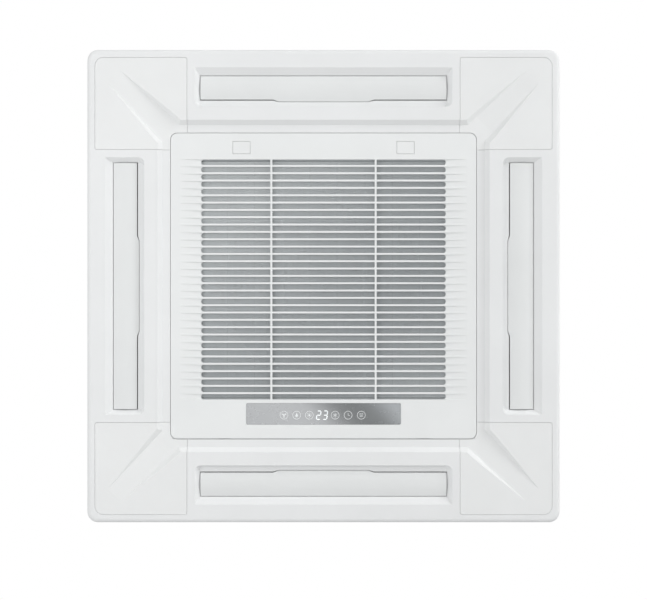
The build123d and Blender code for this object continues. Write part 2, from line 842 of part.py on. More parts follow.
def latch_clips():
    """Two spring clips on the pocket's wall; each one's foot lies under a latch nose."""
    wall_y = -pocket_side / 2
    foot_top = latch_nose_z - part_gap
    clips = []
    for side in (-1, 1):
        low_x = side * latch_from_centre - clip_width / 2
        high_x = low_x + clip_width
        leaf = block(low_x, high_x, wall_y, wall_y + clip_sheet, foot_top - clip_sheet, clip_top_z)
        foot_end = wall_y + latch_reach_gap + latch_bite
        clips.append(leaf + block(low_x, high_x, wall_y, foot_end, foot_top - clip_sheet, foot_top))
    return clips


def latch_web(x, foot_y):
    """Triangular stiffener between the plate and the arm."""
    top = latch_nose_z - over
    profile = Polygon((foot_y - over, ring_z + over), (foot_y + latch_web_length, ring_z + over),
                      (foot_y - over, top), align=None)
    return Pos(x, 0, 0) * extrude(Plane.YZ * profile, over, both=True)


def latch_pins():
    half = latch_width / 2 + latch_lug - over
    return Compound([rod_x(side * latch_from_centre - half, side * latch_from_centre + half,
                           latch_pivot_y, latch_pivot_z, latch_pin_r) for side in (-1, 1)])


def display_window():
    outline = RectangleRounded(display_width, display_height, display_corner_r)
    return Pos(0, display_y, ring_z) * extrude(outline, display_thickness)


def display_board():
    low = ring_z + grille_skin + board_lift
    width = display_width + 6 * board_post_r
    height = display_height - 2 * display_ledge
    board = block(-width / 2, width / 2, display_y - height / 2, display_y + height / 2,
                  low, low + board_thickness)
    half_x, half_y = digits_width / 2, digits_height / 2
    return board + block(-half_x, half_x, display_y - half_y, display_y + half_y, low - digits_depth, low)


def filter_frame():
    """Moulded filter frame with its supporting grid."""
    width = slot_width + 2 * field_margin
    height = slot_pitch * (slot_count - 1) + slot_height + field_margin
    low = field_top_z
    frame = slab(width, height, low, low + filter_depth, filter_margin)
    cell_x = (width - 2 * filter_border + filter_bar) / filter_columns
    cell_y = (height - 2 * filter_border + filter_bar) / filter_rows
    holes = GridLocations(cell_x, cell_y, filter_columns, filter_rows) * Rectangle(cell_x - filter_bar,
                                                                                  cell_y - filter_bar)
    frame -= Pos(0, 0, low - over) * extrude(Sketch() + holes, filter_depth + 2 * over)
    net_pocket = slab(width - 2 * filter_margin, height - 2 * filter_margin, low - over, low + net_thickness)
    return Pos(0, slot_field_y, 0) * (frame - net_pocket)


def filter_net():
    """The net, a thin sheet under the frame's grid."""
    width = slot_width + 2 * field_margin - 2 * filter_margin - 2 * part_gap
    height = slot_pitch * (slot_count - 1) + slot_height + field_margin - 2 * filter_margin - 2 * part_gap
    return Pos(0, slot_field_y, 0) * slab(width, height, field_top_z, field_top_z + net_thickness)


# ===================================================================== case
def case_shell():
    """Sheet-metal walls of the case, with pipe, drain and wiring holes."""
    body = octagon(case_half, case_chamfer, case_z, case_top_z - sheet)
    inner_chamfer = inset_chamfer(case_chamfer, sheet)
    body -= octagon(case_inner, inner_chamfer, case_z - over, case_top_z)
    body += gussets()
    body -= rod_x(case_half - 3 * sheet, case_half + over, pipe_y, gas_pipe_z, gas_pipe_r + pipe_hole_gap)
    body -= rod_x(case_half - 3 * sheet, case_half + over, pipe_y, gas_pipe_z + pipe_pitch_z,
                  liquid_pipe_r + pipe_hole_gap)
    body -= rod_y(port_x, case_half - 3 * sheet, case_half + over, port_z, port_r + part_gap)
    body -= rod_x(-case_half - over, -case_half + 3 * sheet, grommet_y, case_z + pan_height + grommet_r,
                  grommet_r - 2 * sheet)
    return body


def case_top():
    """Top sheet with eight stamped stiffening ribs."""
    top = octagon(case_half, case_chamfer, case_top_z - sheet, case_top_z)
    for index in range(rib_count):
        foot = SlotOverall(rib_length + 2 * rib_height, top_rib_width + 2 * rib_height)
        crest = SlotOverall(rib_length, top_rib_width)
        rib = loft([Pos(0, 0, case_top_z - over) * foot, Pos(0, 0, case_top_z + rib_height) * crest])
        top += Rot(0, 0, index * 360 / rib_count) * Pos(rib_from_axis + rib_length / 2, 0, 0) * rib
    return top


def gussets():
    """Plates across the open bottom corners, with the holes of the panel screws."""
    plate = octagon(case_inner + sheet / 2, inset_chamfer(case_chamfer, sheet / 2), case_z, case_z + sheet)
    plate -= octagon(case_inner, inset_chamfer(case_chamfer, sheet) + gusset_depth * sqrt(2),
                     case_z - over, case_z + sheet + over)
    place = panel_screw_from_centre
    for x, y in CORNERS:
        plate -= post(x * place, y * place, case_z - over, case_z + sheet + over, panel_screw_r + part_gap)
    return plate


def case_insulation():
    """Foam liner on the walls of the case."""
    low = case_z + sheet
    outer_chamfer = inset_chamfer(case_chamfer, sheet)
    inner_chamfer = inset_chamfer(case_chamfer, sheet + insulation_wall)
    body = octagon(case_inner, outer_chamfer, low, case_top_z - sheet - insulation_thickness)
    body -= octagon(liner_inner, inner_chamfer, low - over, case_top_z)
    body -= rod_x(liner_inner - over, case_half, pipe_y, gas_pipe_z, gas_pipe_r + pipe_hole_gap)
    body -= rod_x(liner_inner - over, case_half, pipe_y, gas_pipe_z + pipe_pitch_z,
                  liquid_pipe_r + pipe_hole_gap)
    body -= rod_y(port_x, liner_inner - over, case_half, port_z, port_r + part_gap)
    body -= rod_x(-case_half, -liner_inner + over, grommet_y, case_z + pan_height + grommet_r, grommet_r)
    for turns in range(4):
        place = panel_screw_from_centre
        body -= quarter(post(place, place, case_z, case_z + panel_screw_reach + over,
                             panel_screw_r + pan_screw_gap), turns)
    return body


def insulation_top():
    """Foam sheet under the case's top, with a round opening for the motor's plate."""
    top = case_top_z - sheet
    body = octagon(case_inner, inset_chamfer(case_chamfer, sheet), top - insulation_thickness, top)
    return body - post(0, 0, top - insulation_thickness - over, top + over, motor_plate_r + part_gap)


def hanger(x_sign, y_sign):
    """Bent lug on a chamfered corner: a leg against the case and an ear with a slotted hole."""
    centre_x, centre_y = x_sign * hanger_pitch_x / 2, y_sign * hanger_pitch_y / 2
    wall = (2 * case_half - case_chamfer) / sqrt(2)
    along = (hanger_pitch_x - hanger_pitch_y) / 2 / sqrt(2)
    reach = (hanger_pitch_x + hanger_pitch_y) / 2 / sqrt(2) + hanger_rim
    leg = block(wall, wall + hanger_sheet, along - hanger_width / 2, along + hanger_width / 2,
                hanger_sheet / 2 - hanger_leg, hanger_sheet)
    ear = block(wall, reach, along - hanger_width / 2, along + hanger_width / 2, 0, hanger_sheet)
    ear = chamfer(ear.edges().filter_by(Axis.Z).sort_by(Axis.X)[-2:], hanger_rim)
    lug = Rot(0, 0, -45) * leg + Rot(0, 0, -45) * ear
    lug = mirror_to_corner(lug, x_sign, y_sign)
    slot = SlotOverall(hanger_slot_length, hanger_slot_width)
    return lug - Pos(centre_x, centre_y, -over) * extrude(slot, hanger_sheet + 2 * over)


def mirror_to_corner(shape, x_sign, y_sign):
    """A shape made for the (+X, -Y) corner, mirrored to the corner asked for."""
    if x_sign < 0:
        shape = mirror(shape, Plane.YZ)
    if y_sign > 0:
        shape = mirror(shape, Plane.XZ)
    return shape


def hanger_screw_places():
    """Points on the chamfered wall, (+X, -Y) corner before turning: distance along the wall, height."""
    along = (hanger_pitch_x - hanger_pitch_y) / 2 / sqrt(2)
    height = hanger_sheet / 2 - 0.62 * hanger_leg
    return [(along - hanger_screw_pitch / 2, height), (along + hanger_screw_pitch / 2, height)]


def hanger_screws():
    """Two screws through each lug's leg into the case."""
    wall = (2 * case_half - case_chamfer) / sqrt(2)
    screws = []
    for x_sign, y_sign in CORNERS:
        for along, height in hanger_screw_places():
            shank = rod_x(wall - 2 * sheet, wall + hanger_sheet, along, height, hanger_screw_r)
            head = rod_x(wall + hanger_sheet, wall + hanger_sheet + hanger_screw_head, along, height,
                         hanger_screw_head_r)
            screws.append(mirror_to_corner(Rot(0, 0, -45) * (shank + head), x_sign, y_sign))
    return screws


def drill_for_hangers(body):
    """Holes through the case or its liner for the shanks of the lug screws."""
    wall = (2 * case_half - case_chamfer) / sqrt(2)
    for x_sign, y_sign in CORNERS:
        for along, height in hanger_screw_places():
            hole = rod_x(wall - 4 * sheet, wall + hanger_sheet + over, along, height, hanger_screw_r)
            body -= mirror_to_corner(Rot(0, 0, -45) * hole, x_sign, y_sign)
    return body


# ===================================================================== drain pan and bell mouth
def pan_chamfer():
    """Chamfer that keeps the pan clear of the panel screws."""
    line = 2 * panel_screw_from_centre - (panel_screw_r + pan_screw_gap) * sqrt(2)
    return 2 * (liner_inner - pan_gap) - line


def drain_pan():
    """Foam pan: four air ducts, a trough under the coil, a sump under the pump and the fan's hole."""
    half = liner_inner - pan_gap
    body = octagon(half, pan_chamfer(), case_z, pan_top_z)
    body -= post(0, 0, case_z - over, pan_top_z + over, pan_hole_r)
    for turns in range(4):
        opening = outlet_section(duct_top_inner, duct_top_outer, duct_half_length, case_z - over)
        body -= quarter(extrude(opening, pan_height + 2 * over, dir=(0, 0, 1)), turns)
    body -= ring_prism(trough_margin, trough_z, pan_top_z + over)
    body -= post(pump_at, pump_at, case_z + sump_floor, pan_top_z + over, sump_r)
    body -= post(float_at_x, float_at_y, case_z + sump_floor, pan_top_z + over, float_r + float_room)
    channel_half = float_r
    body -= block(float_at_x, pump_at, float_at_y - channel_half, float_at_y + channel_half,
                  case_z + sump_floor, pan_top_z + over)
    return body


def ring_prism(grow, low, high):
    """The coil's plan outline, grown on both sides, cut away at the open corner."""
    outer = coil_outer + 2 * grow
    inner = coil_outer - 2 * coil_thickness - 2 * grow
    ring = slab(outer, outer, low, high, coil_corner_r + grow)
    ring -= slab(inner, inner, low - over, high + over, coil_corner_r - coil_thickness - grow)
    stop = coil_end + grow
    return ring - block(stop, coil_outer, stop, coil_outer, low - over, high + over)


def bell_mouth():
    """Flared ring that leads the air from the filter into the fan's eye."""
    low = case_z - bell_wall
    top = low + bell_height
    inside = flare_points(bell_throat_r, bell_round, bell_round, low, bell_round)
    outside = flare_points(bell_throat_r, bell_round, bell_round - bell_wall, low, bell_round)
    points = [(bell_flange_r, low)] + inside + [(bell_throat_r, top), (bell_throat_r + bell_wall, top)]
    points += outside[::-1] + [(bell_flange_r, low + bell_wall)]
    return revolve(Plane.XZ * make_face(Polyline(*points, close=True)), Axis.Z)


def flare_points(throat, spread, radius, low, rise):
    """Quarter round from a flange up into a throat, in flat steps, as pairs of radius and height."""
    angles = [radians(90 * step / curve_steps) for step in range(curve_steps + 1)]
    return [(throat + spread - radius * sin(angle), low + rise - radius * cos(angle)) for angle in angles]


# ===================================================================== heat exchanger
def coil_fins():
    """The fin pack, bent round three corners; its tubes run inside it."""
    return ring_prism(0, trough_z, coil_top_z)


def end_plates():
    """Steel plates on the two ends of the fin pack."""
    inner = coil_outer / 2 - coil_thickness
    low_x, high_x = inner - end_plate_lip, coil_outer / 2 + end_plate_lip / 2
    plate = block(low_x, high_x, coil_end, coil_end + end_plate, trough_z, coil_top_z)
    return [plate, mirror_diagonal(plate)]


def mirror_diagonal(shape):
    """Mirror in the vertical plane x = y."""
    return mirror(shape, Plane(origin=(0, 0, 0), x_dir=(1, 1, 0), z_dir=(1, -1, 0)))


def coil_bends():
    """Return bends on the end plate of the display-side leg."""
    centre_x = coil_outer / 2 - coil_thickness / 2
    start = coil_end + end_plate
    bends = []
    for row in range(bend_rows):
        z = coil_top_z - bend_pitch * (row + 0.35)
        bends.append(mirror_diagonal(return_bend(centre_x - bend_pitch / 2, start, z)))
    return bends


def return_bend(x, y, z):
    """One U of tube in a horizontal plane, its bow in flat steps."""
    radius = bend_pitch / 2
    points = [(x, y, z)]
    for step in range(bend_steps + 1):
        angle = pi * (1 - step / bend_steps)
        points.append((x + radius + radius * cos(angle), y + bend_straight + radius * sin(angle), z))
    points.append((x + bend_pitch, y, z))
    profile = Plane(origin=points[0], x_dir=(1, 0, 0), z_dir=(0, 1, 0)) * RegularPolygon(bend_tube_r, 6)
    return sweep(profile, path=Polyline(*points), transition=Transition.RIGHT)


def coil_header():
    """Upright collector beside the other end plate, with its stubs."""
    x = coil_outer / 2 - coil_thickness / 2
    plate_y = coil_end + end_plate
    low = trough_z + (coil_height - header_length) / 2
    header = post(x, pipe_y, low, low + header_length, header_r)
    for row in range(header_stubs):
        z = low + bend_pitch * (row + 0.5)
        header += rod_y(x, plate_y, pipe_y, z, bend_tube_r)
    return header


# ===================================================================== refrigerant pipes
def gas_pipe():
    """Straight pipe from the header out through the case."""
    header_x = coil_outer / 2 - coil_thickness / 2
    pipe = rod_x(header_x, case_half + pipe_out - flare_socket, pipe_y, gas_pipe_z, gas_pipe_r)
    return pipe - post(header_x, pipe_y, gas_pipe_z - header_length, gas_pipe_z + header_length, header_r)


def liquid_pipe():
    """Pipe from the coil's end plate, round one bend and out through the case."""
    start_x, start_y = coil_outer / 2 - coil_thickness / 2, coil_end + end_plate
    z = gas_pipe_z + pipe_pitch_z
    turn = liquid_bend_r
    half = turn * (1 - cos(radians(45)))
    path = Line((start_x, start_y, z), (start_x, pipe_y - turn, z))
    path += ThreePointArc((start_x, pipe_y - turn, z), (start_x + half, pipe_y - half, z),
                          (start_x + turn, pipe_y, z))
    path += Line((start_x + turn, pipe_y, z), (case_half + pipe_out - flare_socket, pipe_y, z))
    profile = Plane(origin=(start_x, start_y, z), x_dir=(1, 0, 0), z_dir=(0, 1, 0)) * Circle(liquid_pipe_r)
    return sweep(profile, path=path)


def flare_nut(radius, z, flat):
    """Hexagonal nut on a pipe's outer end, open beyond the pipe for the pipe that is joined to it."""
    end_x = case_half + pipe_out
    plane = Plane(origin=(end_x - flare_length, pipe_y, z), x_dir=(0, 1, 0), z_dir=(1, 0, 0))
    hexagon = RegularPolygon(flat / 2, 6, major_radius=False)
    nut = extrude(plane * hexagon, flare_length)
    nut -= rod_x(end_x - flare_length - over, end_x - flare_socket, pipe_y, z, radius)
    return nut - rod_x(end_x - flare_socket, end_x + over, pipe_y, z, radius + flare_room)


def pipe_plate():
    """Cover plate on the case where the pipes come out."""
    centre_z = gas_pipe_z + pipe_pitch_z / 2
    plate = block(case_half, case_half + sheet, pipe_y - pipe_plate_width / 2, pipe_y + pipe_plate_width / 2,
                  centre_z - pipe_plate_height / 2, centre_z + pipe_plate_height / 2)
    plate -= rod_x(case_half - over, case_half + sheet + over, pipe_y, gas_pipe_z, gas_pipe_r + part_gap)
    return plate - rod_x(case_half - over, case_half + sheet + over, pipe_y, gas_pipe_z + pipe_pitch_z,
                         liquid_pipe_r + part_gap)


# ===================================================================== turbo fan
def shroud_points(wall):
    """Line of the shroud from the eye out to the rim, in flat steps; wall offsets it to the outside."""
    run, rise = fan_r - fan_eye_r - wall, shroud_rise - wall
    angles = [radians(90 * step / curve_steps) for step in range(curve_steps + 1)]
    return [(fan_r - run * cos(angle), fan_eye_z + rise * sin(angle)) for angle in angles]


def fan_shroud():
    """Flared ring that joins the blades' lower edges round the fan's eye."""
    points = shroud_points(0) + shroud_points(fan_wall)[::-1]
    return revolve(Plane.XZ * make_face(Polyline(*points, close=True)), Axis.Z)


def blade_space():
    """The space between the shroud and the back plate, for trimming the blades."""
    root_z = fan_top_z + fan_wall / 2
    points = shroud_points(0) + [(fan_r, root_z), (dome_top_r, root_z), (dome_top_r, fan_eye_z)]
    return revolve(Plane.XZ * make_face(Polyline(*points, close=True)), Axis.Z)


def blade_outline():
    """Plan of one backward-curved blade: thick in the middle, thin at both edges."""
    front, rear = [], []
    for step in range(blade_steps + 1):
        share = step / blade_steps
        radius = blade_in_r + share * (fan_r - over / 2 - blade_in_r)
        angle = -radians(blade_sweep) * share ** blade_bend
        half = blade_edge / 2 + (blade_thickness - blade_edge) / 2 * sin(pi * share)
        front.append((radius * cos(angle + half / radius), radius * sin(angle + half / radius)))
        rear.append((radius * cos(angle - half / radius), radius * sin(angle - half / radius)))
    return Polygon(*front, *rear[::-1], align=None)


def fan_blade():
    """One blade, its leading edge slanting outwards from the back plate to the eye."""
    blade = Pos(0, 0, fan_eye_z - over) * extrude(blade_outline(), fan_top_z + 2 * fan_wall - fan_eye_z,
                                                  dir=(0, 0, 1))
    height = fan_top_z + fan_wall - fan_eye_z
    lead = Pos(0, 0, fan_eye_z + height / 2) * Cone(blade_low_r, blade_in_r, height)
    lead += post(0, 0, fan_eye_z - over, fan_eye_z + blade_low_gap, fan_eye_r + fan_wall / 2)
    return (blade & blade_space()) - lead


def fan_impeller():
    """Turbo fan: back plate with the motor's dome and backward-curved blades."""
    wheel, blade = dome(), fan_blade()
    for index in range(blade_count):
        wheel += Rot(0, 0, index * 360 / blade_count) * blade
    return wheel


def dome():
    """Back plate, sunk in the middle round the motor, with the hub."""
    hub_top = dome_floor_z
    hub_low = hub_top - hub_length
    wall = fan_wall
    profile = make_face(Polyline(
        (shaft_r, hub_low), (hub_r, hub_low), (hub_r, hub_top - wall), (dome_floor_r + wall, hub_top - wall),
        (dome_top_r + wall, fan_top_z), (fan_r, fan_top_z), (fan_r, fan_top_z + wall),
        (dome_top_r, fan_top_z + wall), (dome_floor_r, hub_top), (shaft_r, hub_top), close=True))
    return revolve(Plane.XZ * profile, Axis.Z)


def fan_shaft():
    motor_low = fan_motor_top_z - fan_motor_height
    end = dome_floor_z - hub_length - fan_nut_height - 3 * over
    return post(0, 0, end, motor_low + 2 * motor_lug_thickness, shaft_r)


def fan_nut():
    top = dome_floor_z - hub_length
    nut = Pos(0, 0, top - fan_nut_height) * extrude(RegularPolygon(fan_nut_r, 6), fan_nut_height)
    return nut - post(0, 0, top - fan_nut_height - over, top + over, shaft_r)


def fan_motor():
    """Motor can with a stepped cap, three-step profile and mounting lugs."""
    top, low = fan_motor_top_z, fan_motor_top_z - fan_motor_height
    bore = shaft_r + run_gap
    profile = make_face(Polyline(
        (bore, low), (fan_motor_r * 0.35, low), (fan_motor_r * 0.35, low + 6), (fan_motor_r - 6, low + 6),
        (fan_motor_r, low + 12), (fan_motor_r, top - motor_cap_taper), (fan_motor_r - motor_cap_taper, top),
        (0, top),
        (0, low + 3 * motor_lug_thickness), (bore, low + 3 * motor_lug_thickness), close=True))
    motor = revolve(Plane.XZ * profile, Axis.Z)
    lug_top = motor_lug_z
    for index in range(foot_count):
        arm = block(0, motor_lug_pitch_r, -motor_lug_r, motor_lug_r, lug_top - motor_lug_thickness, lug_top)
        arm += post(motor_lug_pitch_r, 0, lug_top - motor_lug_thickness, lug_top, motor_lug_r)
        arm -= post(0, 0, lug_top - 2 * motor_lug_thickness, lug_top + over,
                    fan_motor_r - 2 * motor_cap_taper)
        motor += Rot(0, 0, 45 + index * 90) * arm
    return motor


def motor_feet():
    """Rubber feet between the motor's lugs and the bracket."""
    low = motor_lug_z
    high = case_top_z - sheet - motor_plate
    foot = post(motor_lug_pitch_r, 0, low, high, motor_feet_r)
    return [Rot(0, 0, 45 + index * 90) * foot for index in range(foot_count)]


def motor_bracket():
    """Round steel plate under the case's top that carries the motor."""
    top = case_top_z - sheet
    plate = post(0, 0, top - motor_plate, top, motor_plate_r)
    return plate - post(0, 0, top - motor_plate - over, top + over, motor_plate_r / 3)


# ===================================================================== drain pump and float
def pump_housing():
    """Pump: open cup in the sump, neck, motor and outlet spout."""
    low = case_z + sump_floor + pump_base_gap
    cup_top = low + pump_cup_height
    cup = post(pump_at, pump_at, low, cup_top, pump_cup_r)
    cup -= post(pump_at, pump_at, low - over, cup_top - pump_wall, pump_cup_r - pump_wall)
    neck_top = cup_top + pump_neck_height
    cup += post(pump_at, pump_at, cup_top - over, neck_top, pump_neck_r)
    cup += post(pump_at, pump_at, neck_top, neck_top + pump_motor_height, pump_motor_r)
    cup -= post(pump_at, pump_at, low - over, neck_top + pump_motor_height / 2, pump_shaft_r + run_gap)
    return cup


def pump_impeller():
    """Shaft with a four-vaned wheel inside the cup."""
    low = case_z + sump_floor + pump_base_gap
    neck_top = low + pump_cup_height + pump_neck_height
    wheel_low = low + 2 * over
    wheel = post(pump_at, pump_at, wheel_low, neck_top + pump_motor_height / 2 - over, pump_shaft_r)
    wheel += post(pump_at, pump_at, wheel_low, wheel_low + pump_wheel_height, 2 * pump_shaft_r)
    vane = block(-pump_wheel_r, pump_wheel_r, -over, over, wheel_low, wheel_low + pump_wheel_height)
    wheel += Pos(pump_at, pump_at, 0) * vane
    return wheel + Pos(pump_at, pump_at, 0) * Rot(0, 0, 90) * vane


def pump_bracket():
    """Sheet strap from the pump's motor up to the case's top."""
    low = case_z + sump_floor + pump_base_gap + pump_cup_height + pump_neck_height + pump_motor_height
    top = case_top_z - sheet - insulation_thickness
    half = pump_motor_r * 0.7
    strap = block(-half, half, -half, half, low, low + pump_bracket_sheet)
    strap += block(-half, -half + pump_bracket_sheet, -half, half, low, top)
    strap += block(-half, half, -half, half, top - pump_bracket_sheet, top)
    return Pos(pump_at, pump_at, 0) * strap


def drain_hose():
    """Rubber hose from the pump's cup up and across to the drain port."""
    z = case_z + sump_floor + pump_base_gap + pump_cup_height - pump_spout_drop
    start_y = pump_at + pump_cup_r
    rise_y = start_y + hose_first_bend_r + over
    path = FilletPolyline((pump_at, start_y, z), (pump_at, rise_y, z), (pump_at, rise_y, port_z),
                          (port_x, rise_y, port_z), (port_x, liner_inner - port_inset, port_z),
                          radius=[hose_first_bend_r, hose_bend_r, hose_bend_r])
    plane = Plane(origin=(pump_at, start_y, z), x_dir=(1, 0, 0), z_dir=(0, 1, 0))
    return sweep(plane * RegularPolygon(pump_outlet_r, hose_sides), path=path)


def drain_port():
    """Plastic stub through the case, where the drain pipe is pushed on."""
    start = liner_inner - port_inset
    end = case_half + port_length
    port = rod_y(port_x, start, end, port_z, port_r)
    port -= rod_y(port_x, start + port_wall, end + over, port_z, port_r - port_wall)
    flange = rod_y(port_x, case_half, case_half + port_wall, port_z, port_r + 2 * port_wall)
    return port + (flange - rod_y(port_x, case_half - over, case_half + 2 * port_wall, port_z, port_r - over))


def float_guide():
    """Stem that the float rides on, hung from the bracket plate above it."""
    low = case_z + sump_floor
    stem = post(float_at_x, float_at_y, low, low + float_stem_length, float_stem_r)
    stem += post(float_at_x, float_at_y, low, low + 2 * over, float_r - over)
    head_low = low + float_stem_length
    return stem + post(float_at_x, float_at_y, head_low, head_low + 3 * over, float_r)


def float_ring():
    low = case_z + sump_floor + 2 * over + part_gap
    ring = post(float_at_x, float_at_y, low, low + float_height, float_r)
    return ring - post(float_at_x, float_at_y, low - over, low + float_height + over, float_stem_r + run_gap)


# ===================================================================== electric box
def electric_box():
    """Tray under the drain pan, open below, with the terminal strip inside."""
    top = case_z
    half_x, half_y = box_width / 2, box_length / 2
    x = box_centre_x
    body = block(x - half_x, x + half_x, -half_y, half_y, top - box_height, top)
    body -= block(x - half_x + box_wall, x + half_x - box_wall, -half_y + box_wall, half_y - box_wall,
                  top - box_height - over, top - box_wall)
    return body


def electric_cover():
    x, half_x, half_y = box_centre_x, box_width / 2, box_length / 2
    low = case_z - box_height - box_wall
    return block(x - half_x, x + half_x, -half_y, half_y, low, low + box_wall)


def terminal_block():
    """Terminal strip with a cell for each wire."""
    x, top = box_centre_x, case_z - box_wall
    half = terminal_length / 2
    wide = terminal_width / 2
    strip = block(x - wide, x + wide, -half, half, top - terminal_height, top)
    cell = terminal_length / terminal_count
    for index in range(terminal_count):
        y = -half + (index + 0.5) * cell
        reach = (cell - terminal_rib) / 2
        strip -= block(x - wide + terminal_rib, x + wide - terminal_rib, y - reach, y + reach,
                       top - terminal_height - over, top - terminal_height / 2)
    return strip


def cable_grommet():
    """Rubber bush in the case's wiring hole, with a narrower nipple outside."""
    z = case_z + pan_height + grommet_r
    outside, inside = -case_half - grommet_lip, -case_inner + grommet_lip
    bush = rod_x(outside, inside, grommet_y, z, grommet_r)
    groove = rod_x(-case_half, -case_inner, grommet_y, z, grommet_r + over)
    bush -= groove - rod_x(-case_half, -case_inner, grommet_y, z, grommet_r - 2 * sheet)
    bush += rod_x(outside - grommet_nipple, outside, grommet_y, z, grommet_hole_r + grommet_wall)
    bush -= rod_x(outside - grommet_nipple - over, outside, grommet_y, z, grommet_hole_r)
    return bush - rod_x(outside - grommet_lip, inside + over, grommet_y, z, grommet_hole_r + over)


# ===================================================================== export
def build():
    """Writes every sub-part to its own file."""
    os.makedirs("parts", exist_ok=True)
    save("panel_frame", panel_frame())
    cover, back = corner_cover(), back_cover()
    save("corner_cover_back_right", back)
    save("corner_cover_back_left", mirror(back, Plane.YZ))
    save("corner_cover_front_left", quarter(cover, 2))
    save("corner_cover_front_right", quarter(cover, 3))
    louver, motor = front_louver(), louver_motor()
    for turns, name in enumerate(SIDES):
        save("louver_" + name, quarter(louver, turns))
        save("louver_motor_" + name, quarter(motor, turns))
    save("panel_screws", Compound([quarter(panel_screw(), turns) for turns in range(4)]))
    save("panel_gasket", panel_gasket())
    save("ceiling_gasket", ceiling_gasket())
    save("intake_grille", intake_grille())
    save("hinge_pins", hinge_pins())
    save("latch_left", latch(-latch_from_centre))
    save("latch_right", latch(latch_from_centre))
    save("latch_pins", latch_pins())
    save("latch_clips", Compound(latch_clips()))
    save("display_window", display_window())
    save("display_board", display_board())
    save("filter_frame", filter_frame())
    save("filter_net", filter_net())
    save("case_shell", drill_for_hangers(case_shell()))
    save("case_top", case_top())
    save("case_insulation", drill_for_hangers(case_insulation()))
    save("insulation_top", insulation_top())
    save("hanger_brackets", Compound([drill_for_hangers(hanger(x, y)) for x, y in CORNERS]))
    save("hanger_screws", Compound(hanger_screws()))
    save("drain_pan", drain_pan())
    save("bell_mouth", bell_mouth())
    save("coil_fins", coil_fins())
    save("coil_end_plates", Compound(end_plates()))
    save("coil_bends", Compound(coil_bends()))
    save("coil_header", coil_header())
    save("gas_pipe", gas_pipe())
    save("liquid_pipe", liquid_pipe())
    save("flare_nuts", Compound([flare_nut(gas_pipe_r, gas_pipe_z, flare_flat_gas),
                                 flare_nut(liquid_pipe_r, gas_pipe_z + pipe_pitch_z, flare_flat_liquid)]))
    save("pipe_plate", pipe_plate())
    save("fan_impeller", fan_impeller())
    save("fan_shroud", fan_shroud())
    save("fan_shaft", fan_shaft())
    save("fan_nut", fan_nut())
    save("fan_motor", fan_motor())
    save("motor_feet", Compound(motor_feet()))
    save("motor_bracket", motor_bracket())
    save("pump_housing", pump_housing())
    save("pump_impeller", pump_impeller())
    save("pump_bracket", pump_bracket())
    save("drain_hose", drain_hose())
    save("drain_port", drain_port())
    save("float_guide", float_guide())
    save("float_ring", float_ring())
    save("electric_box", electric_box())
    save("electric_cover", electric_cover())
    save("terminal_block", terminal_block())
    save("cable_grommet", cable_grommet())


build()
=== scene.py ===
import math

import bmesh
import bpy
from mathutils import Matrix, Vector


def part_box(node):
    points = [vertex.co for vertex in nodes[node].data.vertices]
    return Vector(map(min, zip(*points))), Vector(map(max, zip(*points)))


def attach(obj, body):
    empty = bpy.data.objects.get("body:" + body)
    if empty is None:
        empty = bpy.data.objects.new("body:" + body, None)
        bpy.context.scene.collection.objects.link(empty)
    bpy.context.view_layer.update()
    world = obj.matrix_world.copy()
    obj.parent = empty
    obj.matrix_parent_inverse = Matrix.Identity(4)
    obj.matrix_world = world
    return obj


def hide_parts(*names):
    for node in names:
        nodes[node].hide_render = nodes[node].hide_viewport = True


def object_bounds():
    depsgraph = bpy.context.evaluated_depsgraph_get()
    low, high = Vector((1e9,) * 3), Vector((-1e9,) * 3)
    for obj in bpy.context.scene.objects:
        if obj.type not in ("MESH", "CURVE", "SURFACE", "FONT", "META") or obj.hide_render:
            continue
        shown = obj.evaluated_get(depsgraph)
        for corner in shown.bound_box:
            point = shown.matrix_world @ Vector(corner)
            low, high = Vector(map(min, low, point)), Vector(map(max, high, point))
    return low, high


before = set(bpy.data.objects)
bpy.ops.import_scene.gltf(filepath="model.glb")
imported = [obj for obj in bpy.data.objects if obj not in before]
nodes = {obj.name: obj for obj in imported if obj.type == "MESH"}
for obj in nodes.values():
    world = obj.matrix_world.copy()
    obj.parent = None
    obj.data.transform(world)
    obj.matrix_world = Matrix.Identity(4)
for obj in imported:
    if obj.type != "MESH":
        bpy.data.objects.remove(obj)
cad_low, cad_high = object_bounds()
mm = 0.001

# camera and room
camera_distance = 2.25          # from the panel's face
panel_pixels = 474.0            # how wide the panel is drawn
picture_width = 647.0
sensor_width = 36.0
aim_y = 0.028                   # the camera stands this far towards the display side
floor_drop = 2.45               # from the panel's face to the floor
floor_radius = 14.0
floor_steps = 96
floor_white = 0.84
floor_fill = 0.36               # keeps the floor white where the camera sees it
room_light = 0.6                # the world's light on the object; 1 is white

# lamps: two square ones below the panel's face, power in watts, and a soft sun above it
side_lamp = dict(place=(4.75, -2.85), drop=1.9, power=165.0, size=2.1, glare=False)
front_lamp = dict(place=(-1.7, -0.3), drop=1.8, power=14.0, size=1.3, glare=True)
high_lamp = dict(direction=(-0.35, 0.45, -0.85), strength=0.7, softness=25.0)

# coil
fin_pitch = 2.4 * mm
fin_thickness = 0.35 * mm
coil_end_y = 190 * mm           # where each end of the ring stops
coil_corner = 76 * mm           # outer radius of its corners
coil_depth = 38 * mm
fin_rows = (-0.5, -0.25, 0.0, 0.25, 0.5)    # places across the coil where a fin's wave is drawn
fin_wave = 1.5                  # its height, in fin thicknesses

# filter net
net_pitch = 2.4 * mm
net_strand = 1.35 * mm

